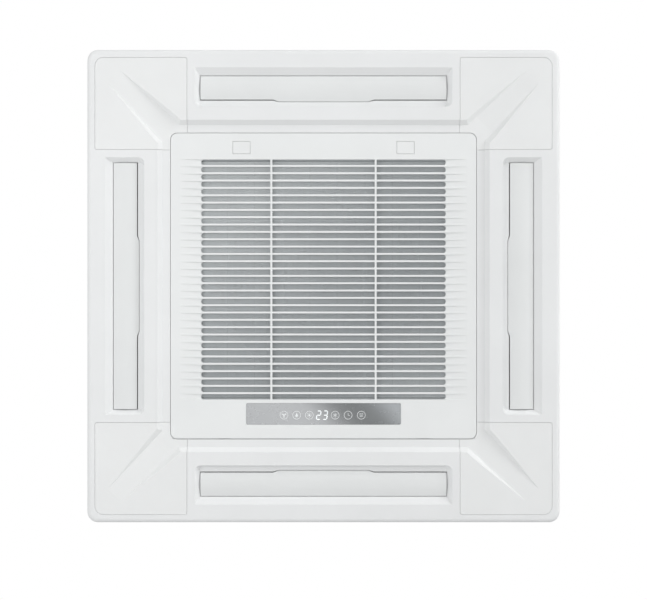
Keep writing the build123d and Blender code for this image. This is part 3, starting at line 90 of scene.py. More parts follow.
# screws of the case
case_screw_r = 4.0 * mm
case_screw_height = 2.0 * mm
case_screw_drop = 9.0 * mm      # below the shell's top
case_screw_places = (-225 * mm, -75 * mm, 75 * mm, 225 * mm)
plate_screw_r = 3.0 * mm
plate_screw_inset = 6.0 * mm
cover_screw_inset = 9.0 * mm
cover_screw_height = 1.5 * mm
motor_screw_count = 6
motor_screw_share = 0.84        # of the motor plate's radius
top_sheet = 1.2 * mm            # the case's top, which lies over the motor plate
hanger_head_height = 3.0 * mm
head_steps = 20
head_turn = 37                  # degrees from one screw's cross to the next
cross_reach = 0.48              # the cross recess, in shares of the head's radius
cross_half = 0.12
cross_taper = 0.6               # its floor against its mouth
cross_level = 0.3               # its floor, in shares of the head's height

# display
digit_height = 19.0 * mm
digit_width = 9.6 * mm
digit_stroke = 2.1 * mm
digit_gap = 0.62                # between two strokes' ends, in strokes
digit_fill = 0.9                # how much of its place a stroke fills
digit_pitch = 13.2 * mm
digit_slant = 0.12
print_drop = 2.5 * mm           # the prints' middle below the window's
print_middle = -3.0 * mm        # and left of its middle
icon_r = 8.0 * mm
icon_line = 0.8 * mm
icon_places = {"wheel": -76.5 * mm, "drop": -51.0 * mm, "sun": -25.5 * mm,
               "star": 26.5 * mm, "clock": 52.5 * mm, "arrows": 79.0 * mm}
wheel_blades, sun_rays, star_rays = 3, 8, 6
ring_steps = 24
print_lift = 0.12 * mm          # how far prints stand off their surface


# ---------------------------------------------------------------- finishes

def screen(red, green, blue):
    """A linear colour from 8-bit screen values."""
    def linear(value):
        value /= 255
        return value / 12.92 if value <= 0.04045 else ((value + 0.055) / 1.055) ** 2.4
    return linear(red), linear(green), linear(blue), 1.0


def shade(colour, factor):
    """A colour made darker or lighter."""
    return tuple(min(1.0, v * factor) for v in colour[:3]) + (1.0,)


class Finish:
    """A material and the patterns that finishes share; scales are per metre, distances in metres."""

    def __init__(self, name, **sockets):
        self.material = bpy.data.materials.new(name)
        self.material.use_nodes = True
        self.tree = self.material.node_tree
        self.shader = self.tree.nodes["Principled BSDF"]
        for socket, value in sockets.items():
            title = socket.replace("_", " ").title().replace("Ior", "IOR")
            self.shader.inputs[title].default_value = value
        self.place = self.node("ShaderNodeTexCoord").outputs["Object"]
        self.height = None

    def node(self, kind, links=None, **settings):
        """A node; links holds what each of its inputs takes, an output or a plain value."""
        made = self.tree.nodes.new(kind)
        for key, value in settings.items():
            setattr(made, key, value)
        for socket, value in (links or {}).items():
            if isinstance(value, bpy.types.NodeSocket):
                self.tree.links.new(value, made.inputs[socket])
            else:
                made.inputs[socket].default_value = value
        return made

    def link(self, source, socket):
        """Feeds an output into the shader."""
        self.tree.links.new(source, self.shader.inputs[socket])

    def stretched(self, x, y, z):
        """Object coordinates scaled along each axis."""
        return self.node("ShaderNodeMapping", {"Vector": self.place, "Scale": (x, y, z)}).outputs["Vector"]

    def noise(self, scale, detail=3.0, place=None):
        """Soft cloudy values."""
        links = {"Vector": place or self.place, "Scale": scale, "Detail": detail}
        return self.node("ShaderNodeTexNoise", links).outputs["Fac"]

    def cells(self, scale, feature="F1", output="Distance", place=None):
        """Values or colours of a cell pattern."""
        links = {"Vector": place or self.place, "Scale": scale}
        return self.node("ShaderNodeTexVoronoi", links, feature=feature).outputs[output]

    def spread(self, source, low, high, from_low=0.3, from_high=0.7):
        """A pattern's values moved to another range."""
        links = {"Value": source, "From Min": from_low, "From Max": from_high,
                 "To Min": low, "To Max": high}
        return self.node("ShaderNodeMapRange", links).outputs["Result"]

    def ramp(self, source, stops, easing="LINEAR"):
        """A pattern's values turned into colours."""
        made = self.node("ShaderNodeValToRGB", {"Fac": source})
        made.color_ramp.interpolation = easing
        points = made.color_ramp.elements
        while len(points) < len(stops):
            points.new(0.5)
        for point, (position, colour) in zip(points, stops):
            point.position = position
            point.color = colour
        return made.outputs["Color"]

    def multiplied(self, first, second):
        """Two patterns' colours multiplied."""
        links = {0: 1.0, 6: first, 7: second}       # the Mix node's factor and its colours
        return self.node("ShaderNodeMix", links, data_type="RGBA", blend_type="MULTIPLY").outputs[2]

    def mottle(self, colour, scale, amount):
        """The base colour, a little lighter and darker in soft patches."""
        stops = [(0.35, shade(colour, 1 - amount)), (0.65, shade(colour, 1 + amount))]
        self.link(self.ramp(self.noise(scale, 4.0), stops), "Base Color")

    def rough(self, pattern, low, high):
        """Roughness that varies with a pattern."""
        self.link(self.spread(pattern, low, high), "Roughness")

    def bump(self, pattern, strength, distance, edge=0.0):
        """Relief from a pattern; each call adds to the one before. edge rounds the corners it meets."""
        links = {"Height": pattern, "Strength": strength, "Distance": distance}
        if self.height is not None:
            links["Normal"] = self.height
        elif edge:
            links["Normal"] = self.node("ShaderNodeBevel", {"Radius": edge}, samples=4).outputs["Normal"]
        self.height = self.node("ShaderNodeBump", links).outputs["Normal"]
        self.link(self.height, "Normal")


def plastic(name, colour, roughness=0.46, grain=0.10, edge=0.0006, mottling=0.012):
    """Moulded plastic with a fine etched grain and softened edges."""
    made = Finish(name, specular_ior_level=0.28)
    made.mottle(colour, 7.0, mottling)
    made.rough(made.noise(45.0), roughness - 0.05, roughness + 0.06)
    made.bump(made.noise(2600.0, 2.0), grain, 0.0002, edge)
    made.bump(made.noise(9.0, 2.0), 0.05, 0.004)
    return made.material


def galvanised(name, colour, spangle=260.0):
    """Zinc-coated steel sheet: crystals that differ in tone and gloss, with faint rolling lines."""
    made = Finish(name, metallic=0.5)
    crystal = made.cells(spangle, output="Color")
    tone = made.node("ShaderNodeRGBToBW", {"Color": crystal}).outputs["Val"]
    patches = made.ramp(tone, [(0.2, shade(colour, 0.90)), (0.8, shade(colour, 1.05))])
    stain = made.ramp(made.noise(5.0, 5.0), [(0.35, (0.86, 0.87, 0.88, 1)), (0.65, (1, 1, 1, 1))])
    made.link(made.multiplied(patches, stain), "Base Color")
    made.rough(tone, 0.50, 0.62)
    made.bump(made.noise(60.0, 2.0, made.stretched(1.0, 14.0, 1.0)), 0.04, 0.0004)
    made.bump(made.noise(1200.0), 0.05, 0.0002)
    return made.material


def bead_foam(name, colour):
    """Expanded bead foam: a skin of pressed beads."""
    made = Finish(name, roughness=0.75, specular_ior_level=0.25)
    bead = made.cells(260.0, "DISTANCE_TO_EDGE")
    made.link(made.ramp(bead, [(0.02, shade(colour, 0.86)), (0.16, colour)]), "Base Color")
    made.bump(made.spread(bead, 0.0, 1.0, 0.0, 0.2), 0.35, 0.0005)
    made.bump(made.noise(30.0), 0.10, 0.002)
    return made.material


def open_foam(name, colour):
    """Soft sealing foam with open pores."""
    made = Finish(name, roughness=0.95, specular_ior_level=0.15)
    pore = made.cells(900.0)
    # the pores are painted darker: painted shade inside the open pores
    made.link(made.ramp(pore, [(0.15, shade(colour, 0.45)), (0.5, colour)]), "Base Color")
    made.bump(pore, 0.6, 0.0006)
    return made.material


def rubber(name, colour):
    """Dull moulded rubber."""
    made = Finish(name, specular_ior_level=0.3)
    made.mottle(colour, 40.0, 0.15)
    made.rough(made.noise(120.0), 0.55, 0.75)
    made.bump(made.noise(1500.0), 0.2, 0.0002)
    return made.material


def metal(name, colour, roughness, stain=None):
    """Plain or plated metal; stain is the colour of its tarnish."""
    made = Finish(name, metallic=1.0)
    tarnish = stain or shade(colour, 0.8)
    made.link(made.ramp(made.noise(26.0, 6.0), [(0.38, tarnish), (0.62, colour)]), "Base Color")
    made.rough(made.noise(140.0), roughness - 0.08, roughness + 0.12)
    made.bump(made.noise(500.0), 0.12, 0.0002)
    return made.material


def painted(name, colour):
    """Paint on sheet or cast metal, with a light orange-peel surface."""
    made = Finish(name, specular_ior_level=0.5)
    made.mottle(colour, 18.0, 0.06)
    made.rough(made.noise(30.0), 0.39, 0.53)
    made.bump(made.noise(420.0, 2.0), 0.12, 0.0003, 0.0006)
    return made.material


def strand_plastic(name, low, high):
    """Drawn threads of the filter net, with painted reflection and painted shade: bright at one corner,
    greyer past the middle; dusty in patches.
    """
    made = Finish(name, specular_ior_level=0.5)
    split = made.node("ShaderNodeSeparateXYZ", {"Vector": made.place})
    halves = [made.spread(split.outputs[k], 0.0, 0.5, low[k], high[k]) for k in (0, 1)]
    along = made.node("ShaderNodeMath", {0: halves[0], 1: halves[1]}, operation="ADD").outputs[0]
    # painted reflection and shade across the net: lighter at the corner of low x and y, darker past the
    # middle, lighter again at the far corner
    stops = [(0.0, screen(220, 224, 225)), (0.3, screen(206, 210, 212)),
             (0.72, screen(164, 169, 172)), (1.0, screen(208, 212, 214))]
    dust = made.ramp(made.noise(3.2, 5.0), [(0.35, (0.93, 0.93, 0.93, 1)), (0.65, (1, 1, 1, 1))])
    made.link(made.multiplied(made.ramp(along, stops, "B_SPLINE"), dust), "Base Color")
    made.rough(made.noise(90.0), 0.35, 0.55)
    made.bump(made.noise(1800.0), 0.15, 0.0002)
    return made.material


def smoked_window(name, low, high):
    """Silvered, smoked display glass with a painted reflection: bright at its left end, dark right of the
    middle.
    """
    made = Finish(name, metallic=0.35, coat_weight=0.3, coat_roughness=0.12)
    lean = -0.9                 # how far the painted reflection slants across the window
    split = made.node("ShaderNodeSeparateXYZ", {"Vector": made.place})
    slope = made.node("ShaderNodeMath", {0: split.outputs["Y"], 1: lean}, operation="MULTIPLY").outputs[0]
    tilt = made.node("ShaderNodeMath", {0: split.outputs["X"], 1: slope}, operation="ADD").outputs[0]
    centre = lean * (low.y + high.y) / 2
    along = made.spread(tilt, 0.0, 1.0, low.x + centre, high.x + centre)
    # the lighter stops are a painted reflection; dark is the smoked glass itself
    painted_reflection, dark = screen(190, 192, 194), screen(112, 115, 116)
    stops = [(0.0, screen(176, 178, 180)), (0.42, painted_reflection), (0.62, dark), (0.84, dark),
             (1.0, screen(172, 176, 179))]
    made.link(made.ramp(along, stops, "B_SPLINE"), "Base Color")
    made.rough(made.noise(60.0), 0.22, 0.30)
    made.bump(made.noise(2200.0), 0.04, 0.0001)
    return made.material


def circuit(name):
    """Green lacquered circuit board with its copper tracks showing through."""
    made = Finish(name, specular_ior_level=0.5)
    track = made.cells(320.0, "DISTANCE_TO_EDGE", place=made.stretched(1.0, 1.6, 1.0))
    made.link(made.ramp(track, [(0.04, screen(58, 118, 70)), (0.10, screen(22, 74, 40))]), "Base Color")
    made.rough(made.noise(200.0), 0.25, 0.4)
    made.bump(track, 0.2, 0.0002)
    return made.material


def lamp_print(name, colour, strength):
    """A print on the display, lit from behind."""
    made = Finish(name, roughness=0.5, emission_strength=strength)
    made.shader.inputs["Emission Color"].default_value = colour
    stops = [(0.3, screen(225, 229, 230)), (0.7, screen(250, 252, 252))]
    made.link(made.ramp(made.noise(700.0), stops), "Base Color")
    return made.material


panel_white = plastic("panel white", screen(232, 233.5, 234), edge=0.0012)
cover_white = plastic("cover white", screen(233, 234.5, 234.5), roughness=0.40)
flap_white = plastic("flap white", screen(227, 229, 229), roughness=0.40, grain=0.06, edge=0.0012)
grille_white = plastic("grille white", screen(233, 235, 235), roughness=0.40)
latch_white = plastic("latch white", screen(233, 235, 235), roughness=0.38)
fan_grey = plastic("fan plastic", screen(196, 199, 200), roughness=0.5, grain=0.15, mottling=0.03)
bell_grey = plastic("bell mouth plastic", screen(214, 217, 217), roughness=0.5, grain=0.15)
pump_white = plastic("pump plastic", screen(222, 222, 214), roughness=0.45)
frame_grey = plastic("filter frame plastic", screen(168, 172, 174), roughness=0.5)
motor_blue = plastic("stepper cap", screen(206, 210, 214), roughness=0.45)
port_grey = plastic("drain port plastic", screen(188, 190, 190), roughness=0.45)
block_black = plastic("terminal plastic", screen(52, 54, 56), roughness=0.5, mottling=0.08)
case_zinc = galvanised("case sheet", screen(190, 194, 197))
bracket_zinc = galvanised("bracket sheet", screen(178, 182, 186), spangle=320.0)
box_zinc = galvanised("box sheet", screen(196, 199, 201), spangle=300.0)
foam_white = bead_foam("white bead foam", screen(226, 228, 226))
pan_foam = bead_foam("pan bead foam", screen(205, 209, 210))
gasket_foam = open_foam("gasket foam", screen(70, 72, 74))
black_rubber = rubber("black rubber", screen(44, 45, 47))
grey_rubber = rubber("hose rubber", screen(150, 153, 155))
fin_aluminium = metal("fin aluminium", screen(206, 210, 213), 0.34)
copper = metal("copper tube", screen(205, 130, 96), 0.28, screen(150, 82, 60))
brass = metal("brass nut", screen(214, 180, 106), 0.25, screen(170, 132, 76))
zinc = metal("plated steel", screen(196, 198, 200), 0.3)
spring_steel = metal("spring steel", screen(168, 170, 172), 0.25)
motor_paint = painted("motor enamel", screen(60, 63, 67))
net_thread = strand_plastic("net thread", *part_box("filter_net"))
window_low, window_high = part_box("display_window")
window_glass = smoked_window("display glass", window_low, window_high)
board_green = circuit("display board")
lamp_white = lamp_print("lit print", screen(240, 246, 248), 0.35)
print_grey = lamp_print("pale print", screen(210, 214, 216), 0.05)

# each node's finish
finish_of = {
    "panel_frame": panel_white,
    "intake_grille": grille_white,
    "filter_frame": frame_grey,
    "filter_net": net_thread,
    "display_window": window_glass,
    "display_board": board_green,
    "latch_pins": spring_steel,
    "latch_clips": spring_steel,
    "hinge_pins": spring_steel,
    "latch_left": latch_white,
    "latch_right": latch_white,
    "panel_screws": zinc,
    "panel_gasket": gasket_foam,
    "ceiling_gasket": gasket_foam,
    "case_shell": case_zinc,
    "case_top": case_zinc,
    "case_insulation": foam_white,
    "insulation_top": foam_white,
    "hanger_brackets": bracket_zinc,
    "hanger_screws": zinc,
    "drain_pan": pan_foam,
    "bell_mouth": bell_grey,
    "coil_fins": fin_aluminium,
    "coil_end_plates": bracket_zinc,
    "coil_bends": copper,
    "coil_header": copper,
    "gas_pipe": copper,
    "liquid_pipe": copper,
    "flare_nuts": brass,
    "pipe_plate": bracket_zinc,
    "fan_impeller": fan_grey,
    "fan_shroud": fan_grey,
    "fan_shaft": zinc,
    "fan_nut": zinc,
    "fan_motor": motor_paint,
    "motor_feet": black_rubber,
    "motor_bracket": bracket_zinc,
    "pump_housing": pump_white,
    "pump_impeller": pump_white,
    "pump_bracket": bracket_zinc,
    "drain_hose": grey_rubber,
    "drain_port": port_grey,
    "float_ring": pump_white,
    "float_guide": pump_white,
    "electric_box": box_zinc,
    "electric_cover": box_zinc,
    "terminal_block": block_black,
    "cable_grommet": black_rubber,
}
for side in ("front", "back", "left", "right"):
    finish_of["louver_" + side] = flap_white
    finish_of["louver_motor_" + side] = motor_blue
for corner in ("front_left", "front_right", "back_left", "back_right"):
    finish_of["corner_cover_" + corner] = cover_white

for name, thing in nodes.items():
    for held in thing.material_slots:
        held.material = finish_of[name]


# ---------------------------------------------------------------- meshes

def add_piece(name, vertices, faces, finish, body):
    """An object of its own that rides on a body."""
    mesh = bpy.data.meshes.new(name)
    mesh.from_pydata(vertices, [], faces)
    mesh.update()
    mesh.materials.append(finish)
    made = bpy.data.objects.new(name, mesh)
    bpy.context.scene.collection.objects.link(made)
    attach(made, body)
    return made


def straighten(piece):
    """Turns all faces of a piece outwards."""
    shape = bmesh.new()
    shape.from_mesh(piece.data)
    bmesh.ops.recalc_face_normals(shape, faces=shape.faces)
    shape.to_mesh(piece.data)
    shape.free()


def pointing(angle):
    """The unit vector at an angle in the plan, in degrees."""
    return Vector((math.cos(math.radians(angle)), math.sin(math.radians(angle))))


def circle_outline(centre, radius, steps=20, first=0.0, sweep=360.0):
    """Points round a circle, or round the arc of it that first and sweep give in degrees."""
    closed = 0 if sweep == 360.0 else 1
    return [Vector(centre) + radius * pointing(first + sweep * k / steps) for k in range(steps + closed)]


def box_mesh(vertices, faces, low, high):
    """Adds an upright box to a mesh in the making."""
    first = len(vertices)
    for z in (low[2], high[2]):
        for x, y in ((low[0], low[1]), (high[0], low[1]), (high[0], high[1]), (low[0], high[1])):
            vertices.append((x, y, z))
    faces.append((first + 3, first + 2, first + 1, first))
    faces.append((first + 4, first + 5, first + 6, first + 7))
    for a in range(4):
        b = (a + 1) % 4
        faces.append((first + a, first + b, first + 4 + b, first + 4 + a))


def make_net():
    """Crossing threads, one layer just above the other."""
    low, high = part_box("filter_net")
    vertices, faces = [], []
    half = net_strand / 2
    middle = (low.z + high.z) / 2
    for count, axis in ((int((high.x - low.x) / net_pitch), 0), (int((high.y - low.y) / net_pitch), 1)):
        start = (low[axis] + high[axis]) / 2 - (count - 1) * net_pitch / 2
        for k in range(count):
            at = start + k * net_pitch
            a, b = list(low), list(high)
            a[axis], b[axis] = at - half, at + half
            a[2], b[2] = (low.z, middle) if axis == 0 else (middle, high.z)
            box_mesh(vertices, faces, a, b)
    net = add_piece("filter_net_threads", vertices, faces, net_thread, "grille")
    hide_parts("filter_net")


def coil_place(distance):
    """A point of the coil's middle line and its heading, from the pipe end round three corners."""
    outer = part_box("coil_fins")[1].x
    half = outer - coil_depth / 2
    radius = coil_corner - coil_depth / 2
    straight = half - radius
    at, heading = Vector((half, coil_end_y)), -90.0
    stretches = [(coil_end_y + straight, False), (0, True), (2 * straight, False), (0, True),
                 (2 * straight, False), (0, True), (coil_end_y + straight, False)]
    for length, bends in stretches:
        along = pointing(heading)
        if not bends:
            if distance <= length:
                return at + distance * along, heading
            at, distance = at + length * along, distance - length
            continue
        centre = at + radius * Vector((along.y, -along.x))
        turned = min(90.0, math.degrees(distance / radius))
        at = centre + Matrix.Rotation(math.radians(-turned), 2) @ (at - centre)
        heading -= turned
        if turned < 90.0:
            return at, heading
        distance -= radius * math.pi / 2
    return None, None


def make_fins():
    """The fin pack: thin upright plates across the coil, fanned out round its corners."""
    low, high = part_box("coil_fins")
    vertices, faces = [], []
    distance = fin_pitch / 2
    count = len(fin_rows)
    while True:
        at, heading = coil_place(distance)
        if at is None:
            break
        along = pointing(heading)
        across = Vector((along.y, -along.x))
        first = len(vertices)
        for z in (low.z, high.z):
            for side in (-0.5, 0.5):
                for place in fin_rows:
                    wave = side + fin_wave * math.cos(math.tau * place)
                    spot = at + across * place * coil_depth + along * wave * fin_thickness
                    vertices.append((spot.x, spot.y, z))
        for k in range(count - 1):
            a, b = first + k, first + k + 1
            c, d = a + count, b + count
            up = 2 * count
            faces.extend([(a, a + up, b + up, b), (c, d, d + up, c + up), (a, b, d, c),
                          (a + up, c + up, d + up, b + up)])
        for k in (0, count - 1):
            a, c = first + k, first + k + count
            ends = (a, c, c + 2 * count, a + 2 * count)
            faces.append(ends if k == 0 else ends[::-1])
        distance += fin_pitch
    fins = add_piece("coil_fin_stack", vertices, faces, fin_aluminium, "unit")
    straighten(fins)
    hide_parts("coil_fins")


# ---------------------------------------------------------------- screws

def screw_head(radius, height, shank):
    """A domed head with a cross recess, standing on the plane z 0 with its shank below."""
    shape = bmesh.new()
    rings = []                  # the outside from the shank's end up, then the recess's mouth and floor
    profile = [(0.5, -shank), (0.5, 0.0), (1.0, 0.0), (1.0, 0.35 * height), (0.92, 0.7 * height),
               (0.78, 0.92 * height), (0.6, height)]
    for width, level in profile:
        rim = circle_outline((0, 0), width * radius, head_steps)
        rings.append([shape.verts.new((p.x, p.y, level)) for p in rim])
    top = len(profile) - 1
    arm, half = cross_reach * radius, cross_half * radius
    quarter = [(arm, -half), (arm, half), (half, half)]
    turns = [Matrix.Rotation(math.radians(90 * k), 2) for k in range(4)]
    cross = [turn @ Vector(point) for turn in turns for point in quarter]
    rings.append([shape.verts.new((p.x, p.y, height)) for p in cross])
    rings.append([shape.verts.new((*(cross_taper * p), cross_level * height)) for p in cross])
    for low, high in [(k, k + 1) for k in range(top)] + [(top + 1, top + 2)]:
        count = len(rings[low])
        for k in range(count):
            a, b = k, (k + 1) % count
            shape.faces.new((rings[low][a], rings[low][b], rings[high][b], rings[high][a]))
    shape.faces.new(rings[-1])
    shape.faces.new(rings[0])
    edges = []
    for ring in (rings[top], rings[top + 1]):
        for k, point in enumerate(ring):
            pair = point, ring[(k + 1) % len(ring)]
            edges.append(shape.edges.get(pair) or shape.edges.new(pair))
    bmesh.ops.triangle_fill(shape, use_beauty=True, edges=edges)
    bmesh.ops.recalc_face_normals(shape, faces=shape.faces)
    shape.verts.index_update()
    vertices = [point.co.copy() for point in shape.verts]
    faces = [[point.index for point in face.verts] for face in shape.faces]
    shape.free()
    return vertices, faces


def add_screws(name, sites, radius, height, shank):
    """A piece of the unit with a screw at each of the given places, facing its own way."""
    head_vertices, head_faces = screw_head(radius, height, shank)
    vertices, faces = [], []
    for turn, (place, way) in enumerate(sites):
        aimed = Matrix.Translation(place) @ Vector(way).to_track_quat("Z", "Y").to_matrix().to_4x4()
        aimed = aimed @ Matrix.Rotation(math.radians(head_turn * turn), 4, "Z")
        first = len(vertices)
        vertices.extend(aimed @ point for point in head_vertices)
        faces.extend([first + index for index in face] for face in head_faces)
    return add_piece(name, vertices, faces, zinc, "unit")


def islands(thing):
    """The points of each separate piece of a CAD node."""
    shape = bmesh.new()
    shape.from_mesh(thing.data)
    bmesh.ops.remove_doubles(shape, verts=shape.verts, dist=1e-6)
    seen, pieces = set(), []
    for start in shape.verts:
        if start in seen:
            continue
        seen.add(start)
        edge, reached = [start], []
        while edge:
            point = edge.pop()
            reached.append(point.co.copy())
            for line in point.link_edges:
                other = line.other_vert(point)
                if other not in seen:
                    seen.add(other)
                    edge.append(other)
        pieces.append(reached)
    shape.free()
    return pieces


def make_case_screws():
    """Screws of the case's top, the motor plate under it, the pipe plate and the electric cover."""
    shell_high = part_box("case_shell")[1]
    level = shell_high.z - case_screw_drop
    sites = []
    for along in case_screw_places:
        for side in (-1, 1):
            sites.append(((side * shell_high.x, along, level), (side, 0, 0)))
            sites.append(((along, side * shell_high.y, level), (0, side, 0)))
    plate_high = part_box("motor_bracket")[1]
    for place in circle_outline((0, 0), motor_screw_share * plate_high.x, motor_screw_count):
        sites.append(((place.x, place.y, plate_high.z + top_sheet), (0, 0, 1)))
    screws = add_screws("case_screws", sites, case_screw_r, case_screw_height, case_screw_height)
    low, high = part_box("pipe_plate")
    inset = plate_screw_inset
    sites = [((high.x, y, z), (1, 0, 0)) for y in (low.y + inset, high.y - inset)
             for z in (low.z + inset, high.z - inset)]
    screws = add_screws("plate_screws", sites, plate_screw_r, case_screw_height, case_screw_height)
    low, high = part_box("electric_cover")
    inset = cover_screw_inset
    sites = [((x, y, low.z), (0, 0, -1)) for x in (low.x + inset, high.x - inset)
             for y in (low.y + inset, (low.y + high.y) / 2, high.y - inset)]
    screws = add_screws("cover_screws", sites, plate_screw_r, cover_screw_height, case_screw_height)


def make_hanger_screws():
    """The screws of the hanger lugs, which stand square to the case's cut corners."""
    sites = []
    for points in islands(nodes["hanger_screws"]):
        middle = sum(points, Vector()) / len(points)
        way = Vector((math.copysign(1, middle.x), math.copysign(1, middle.y), 0)).normalized()
        across = Vector((-way.y, way.x, 0))
        reach = [point.dot(way) for point in points]
        sideways = [point.dot(across) for point in points]
        heights = [point.z for point in points]
        radius = (max(heights) - min(heights)) / 2
        foot = max(reach) - hanger_head_height
        place = foot * way + (min(sideways) + max(sideways)) / 2 * across
        sites.append((place + Vector((0, 0, (min(heights) + max(heights)) / 2)), way))
        shank = foot - min(reach)
    screws = add_screws("hanger_screw_heads", sites, radius, hanger_head_height, shank)
    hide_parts("hanger_screws")


# ---------------------------------------------------------------- display prints

def prism(vertices, faces, outline, low_z, high_z):
    """Adds a flat print between two heights."""
    first, count = len(vertices), len(outline)
    vertices.extend((x, y, low_z) for x, y in outline)
    vertices.extend((x, y, high_z) for x, y in outline)
    faces.append(tuple(range(first + count - 1, first - 1, -1)))
    faces.append(tuple(range(first + count, first + 2 * count)))
    for k in range(count):
        a, b = first + k, first + (k + 1) % count
        faces.append((a, b, b + count, a + count))


def stroke(start, end, width):
    """Outline of a straight stroke with pointed ends, on a plan with y down the picture."""
    start, end = Vector(start), Vector(end)
    along = (end - start).normalized()
    side = Vector((-along.y, along.x)) * width / 2
    tip = along * width / 2
    return [start - tip, start - side, end - side, end + tip, end + side, start + side]


def ring(vertices, faces, centre, radius, width, low_z, high_z):
    """Adds a flat ring between two heights."""
    first = len(vertices)
    corners = ((radius - width / 2, low_z), (radius + width / 2, low_z),
               (radius + width / 2, high_z), (radius - width / 2, high_z))
    for reach, z in corners:
        rim = circle_outline(centre, reach, ring_steps)
        vertices.extend((p.x, p.y, z) for p in rim)
    for side in range(4):
        low, high = first + side * ring_steps, first + (side + 1) % 4 * ring_steps
        for k in range(ring_steps):
            after = (k + 1) % ring_steps
            faces.append((low + k, low + after, high + after, high + k))


def seven_segments(figure, centre):
    """Strokes of the figure 2 or 3; the plan's y runs down the picture."""
    half, tall = digit_width / 2 - digit_stroke / 2, digit_height / 2 - digit_stroke / 2
    gap = digit_stroke * digit_gap
    lines = {"a": ((-half + gap, -tall), (half - gap, -tall)), "b": ((half, -tall + gap), (half, -gap)),
             "c": ((half, gap), (half, tall - gap)), "d": ((-half + gap, tall), (half - gap, tall)),
             "e": ((-half, gap), (-half, tall - gap)), "f": ((-half, -tall + gap), (-half, -gap)),
             "g": ((-half + gap, 0), (half - gap, 0))}
    lit = {2: "abged", 3: "abgcd"}[figure]
    strokes = []
    for name in lit:
        outline = stroke(*lines[name], digit_stroke * digit_fill)
        strokes.append([Vector((centre[0] + p.x - digit_slant * p.y, centre[1] + p.y)) for p in outline])
    return strokes


def icon_shapes(kind, centre):
    """The mark inside one round icon; its lengths are shares of the mark's size."""
    middle, size = Vector(centre), icon_r * 0.55

    def spoke(angle, inner, outer, width=icon_line):
        """A stroke outwards from the mark's middle."""
        way = pointing(angle)
        return stroke(middle + way * inner * size, middle + way * outer * size, width)

    if kind == "wheel":
        return [spoke(90 + 360 / wheel_blades * k, 0.15, 1.0, 2.6 * icon_line) for k in range(wheel_blades)]
    if kind == "drop":
        drop = circle_outline(middle + Vector((0, 0.25 * size)), 0.62 * size, 14, -30.0, 240.0)
        return [drop + [middle + Vector((0, -size))]]
    if kind == "sun":
        rays = [spoke(360 / sun_rays * k, 0.75, 1.1) for k in range(sun_rays)]
        return rays + [circle_outline(middle, 0.45 * size)]
    if kind == "star":
        return [spoke(30 + 360 / star_rays * k, 0.1, 1.05) for k in range(star_rays)]
    if kind == "clock":
        return [spoke(-90, 0.0, 0.95), spoke(20, 0.0, 0.7)]
    chevrons = []
    for shift in (-0.45, 0.15, 0.75):
        peak = middle + Vector((0, shift * size))
        for side in (-1, 1):
            chevrons.append(stroke(peak, peak + Vector((side * 0.75 * size, -0.4 * size)), icon_line))
    return chevrons


def make_prints():
    """The lit figures and the round icons on the display window."""
    low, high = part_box("display_window")
    middle = Vector((print_middle, (low.y + high.y) / 2 + print_drop))
    figures, marks, centres = [], [], []
    for figure, side in ((2, -0.5), (3, 0.5)):
        figures += seven_segments(figure, middle + Vector((side * digit_pitch, 0)))
    for kind, place in icon_places.items():
        centres.append(middle + Vector((place, 0)))
        marks += icon_shapes(kind, centres[-1])
    prints = (("display_figures", figures, [], lamp_white), ("display_icons", marks, centres, print_grey))
    for name, shapes, rings, finish in prints:
        vertices, faces = [], []
        for outline in shapes:
            prism(vertices, faces, [(p.x, p.y) for p in outline], low.z - print_lift, low.z)
        for centre in rings:
            ring(vertices, faces, centre, icon_r, icon_line, low.z - print_lift, low.z)
        piece = add_piece(name, vertices, faces, finish, "grille")
        straighten(piece)


# ---------------------------------------------------------------- room, lamps and camera

def seen_or_mirrored(tree):
    """1 for rays of the camera and of gloss and glass, 0 for the rays that light the object."""
    path = tree.nodes.new("ShaderNodeLightPath")
    seen = tree.nodes.new("ShaderNodeMath")
    seen.operation = "MAXIMUM"
    mirrored = tree.nodes.new("ShaderNodeMath")
    mirrored.operation = "MAXIMUM"
    tree.links.new(path.outputs["Is Camera Ray"], seen.inputs[0])
    tree.links.new(path.outputs["Is Glossy Ray"], mirrored.inputs[0])
    tree.links.new(path.outputs["Is Transmission Ray"], mirrored.inputs[1])
    tree.links.new(mirrored.outputs[0], seen.inputs[1])
    return seen.outputs[0]


def make_floor():
    """A matt disc that is white from above, keeps the object's shadow, and isn't seen from below."""
    mesh = bpy.data.meshes.new("floor")
    shape = bmesh.new()
    bmesh.ops.create_circle(shape, cap_ends=True, segments=floor_steps, radius=floor_radius)
    shape.to_mesh(mesh)
    shape.free()
    floor = bpy.data.objects.new("floor", mesh)
    floor.location.z = cad_low.z - floor_drop
    bpy.context.scene.collection.objects.link(floor)
    material = bpy.data.materials.new("floor")
    material.use_nodes = True
    tree = material.node_tree
    tree.nodes.clear()
    add = tree.nodes.new
    join = tree.links.new
    output = add("ShaderNodeOutputMaterial")
    geometry = add("ShaderNodeNewGeometry")
    matt = add("ShaderNodeBsdfDiffuse")
    matt.inputs["Color"].default_value = (floor_white, floor_white, floor_white, 1)
    fill = add("ShaderNodeEmission")
    fill.inputs["Strength"].default_value = floor_fill
    lit = add("ShaderNodeAddShader")
    choose = add("ShaderNodeMixShader")
    clear = add("ShaderNodeBsdfTransparent")
    side = add("ShaderNodeMixShader")
    join(matt.outputs[0], lit.inputs[0])
    join(fill.outputs[0], lit.inputs[1])
    join(seen_or_mirrored(tree), choose.inputs[0])
    join(matt.outputs[0], choose.inputs[1])
    join(lit.outputs[0], choose.inputs[2])
    join(geometry.outputs["Backfacing"], side.inputs[0])
    join(choose.outputs[0], side.inputs[1])
    join(clear.outputs[0], side.inputs[2])
    join(side.outputs[0], output.inputs["Surface"])
    mesh.materials.append(material)


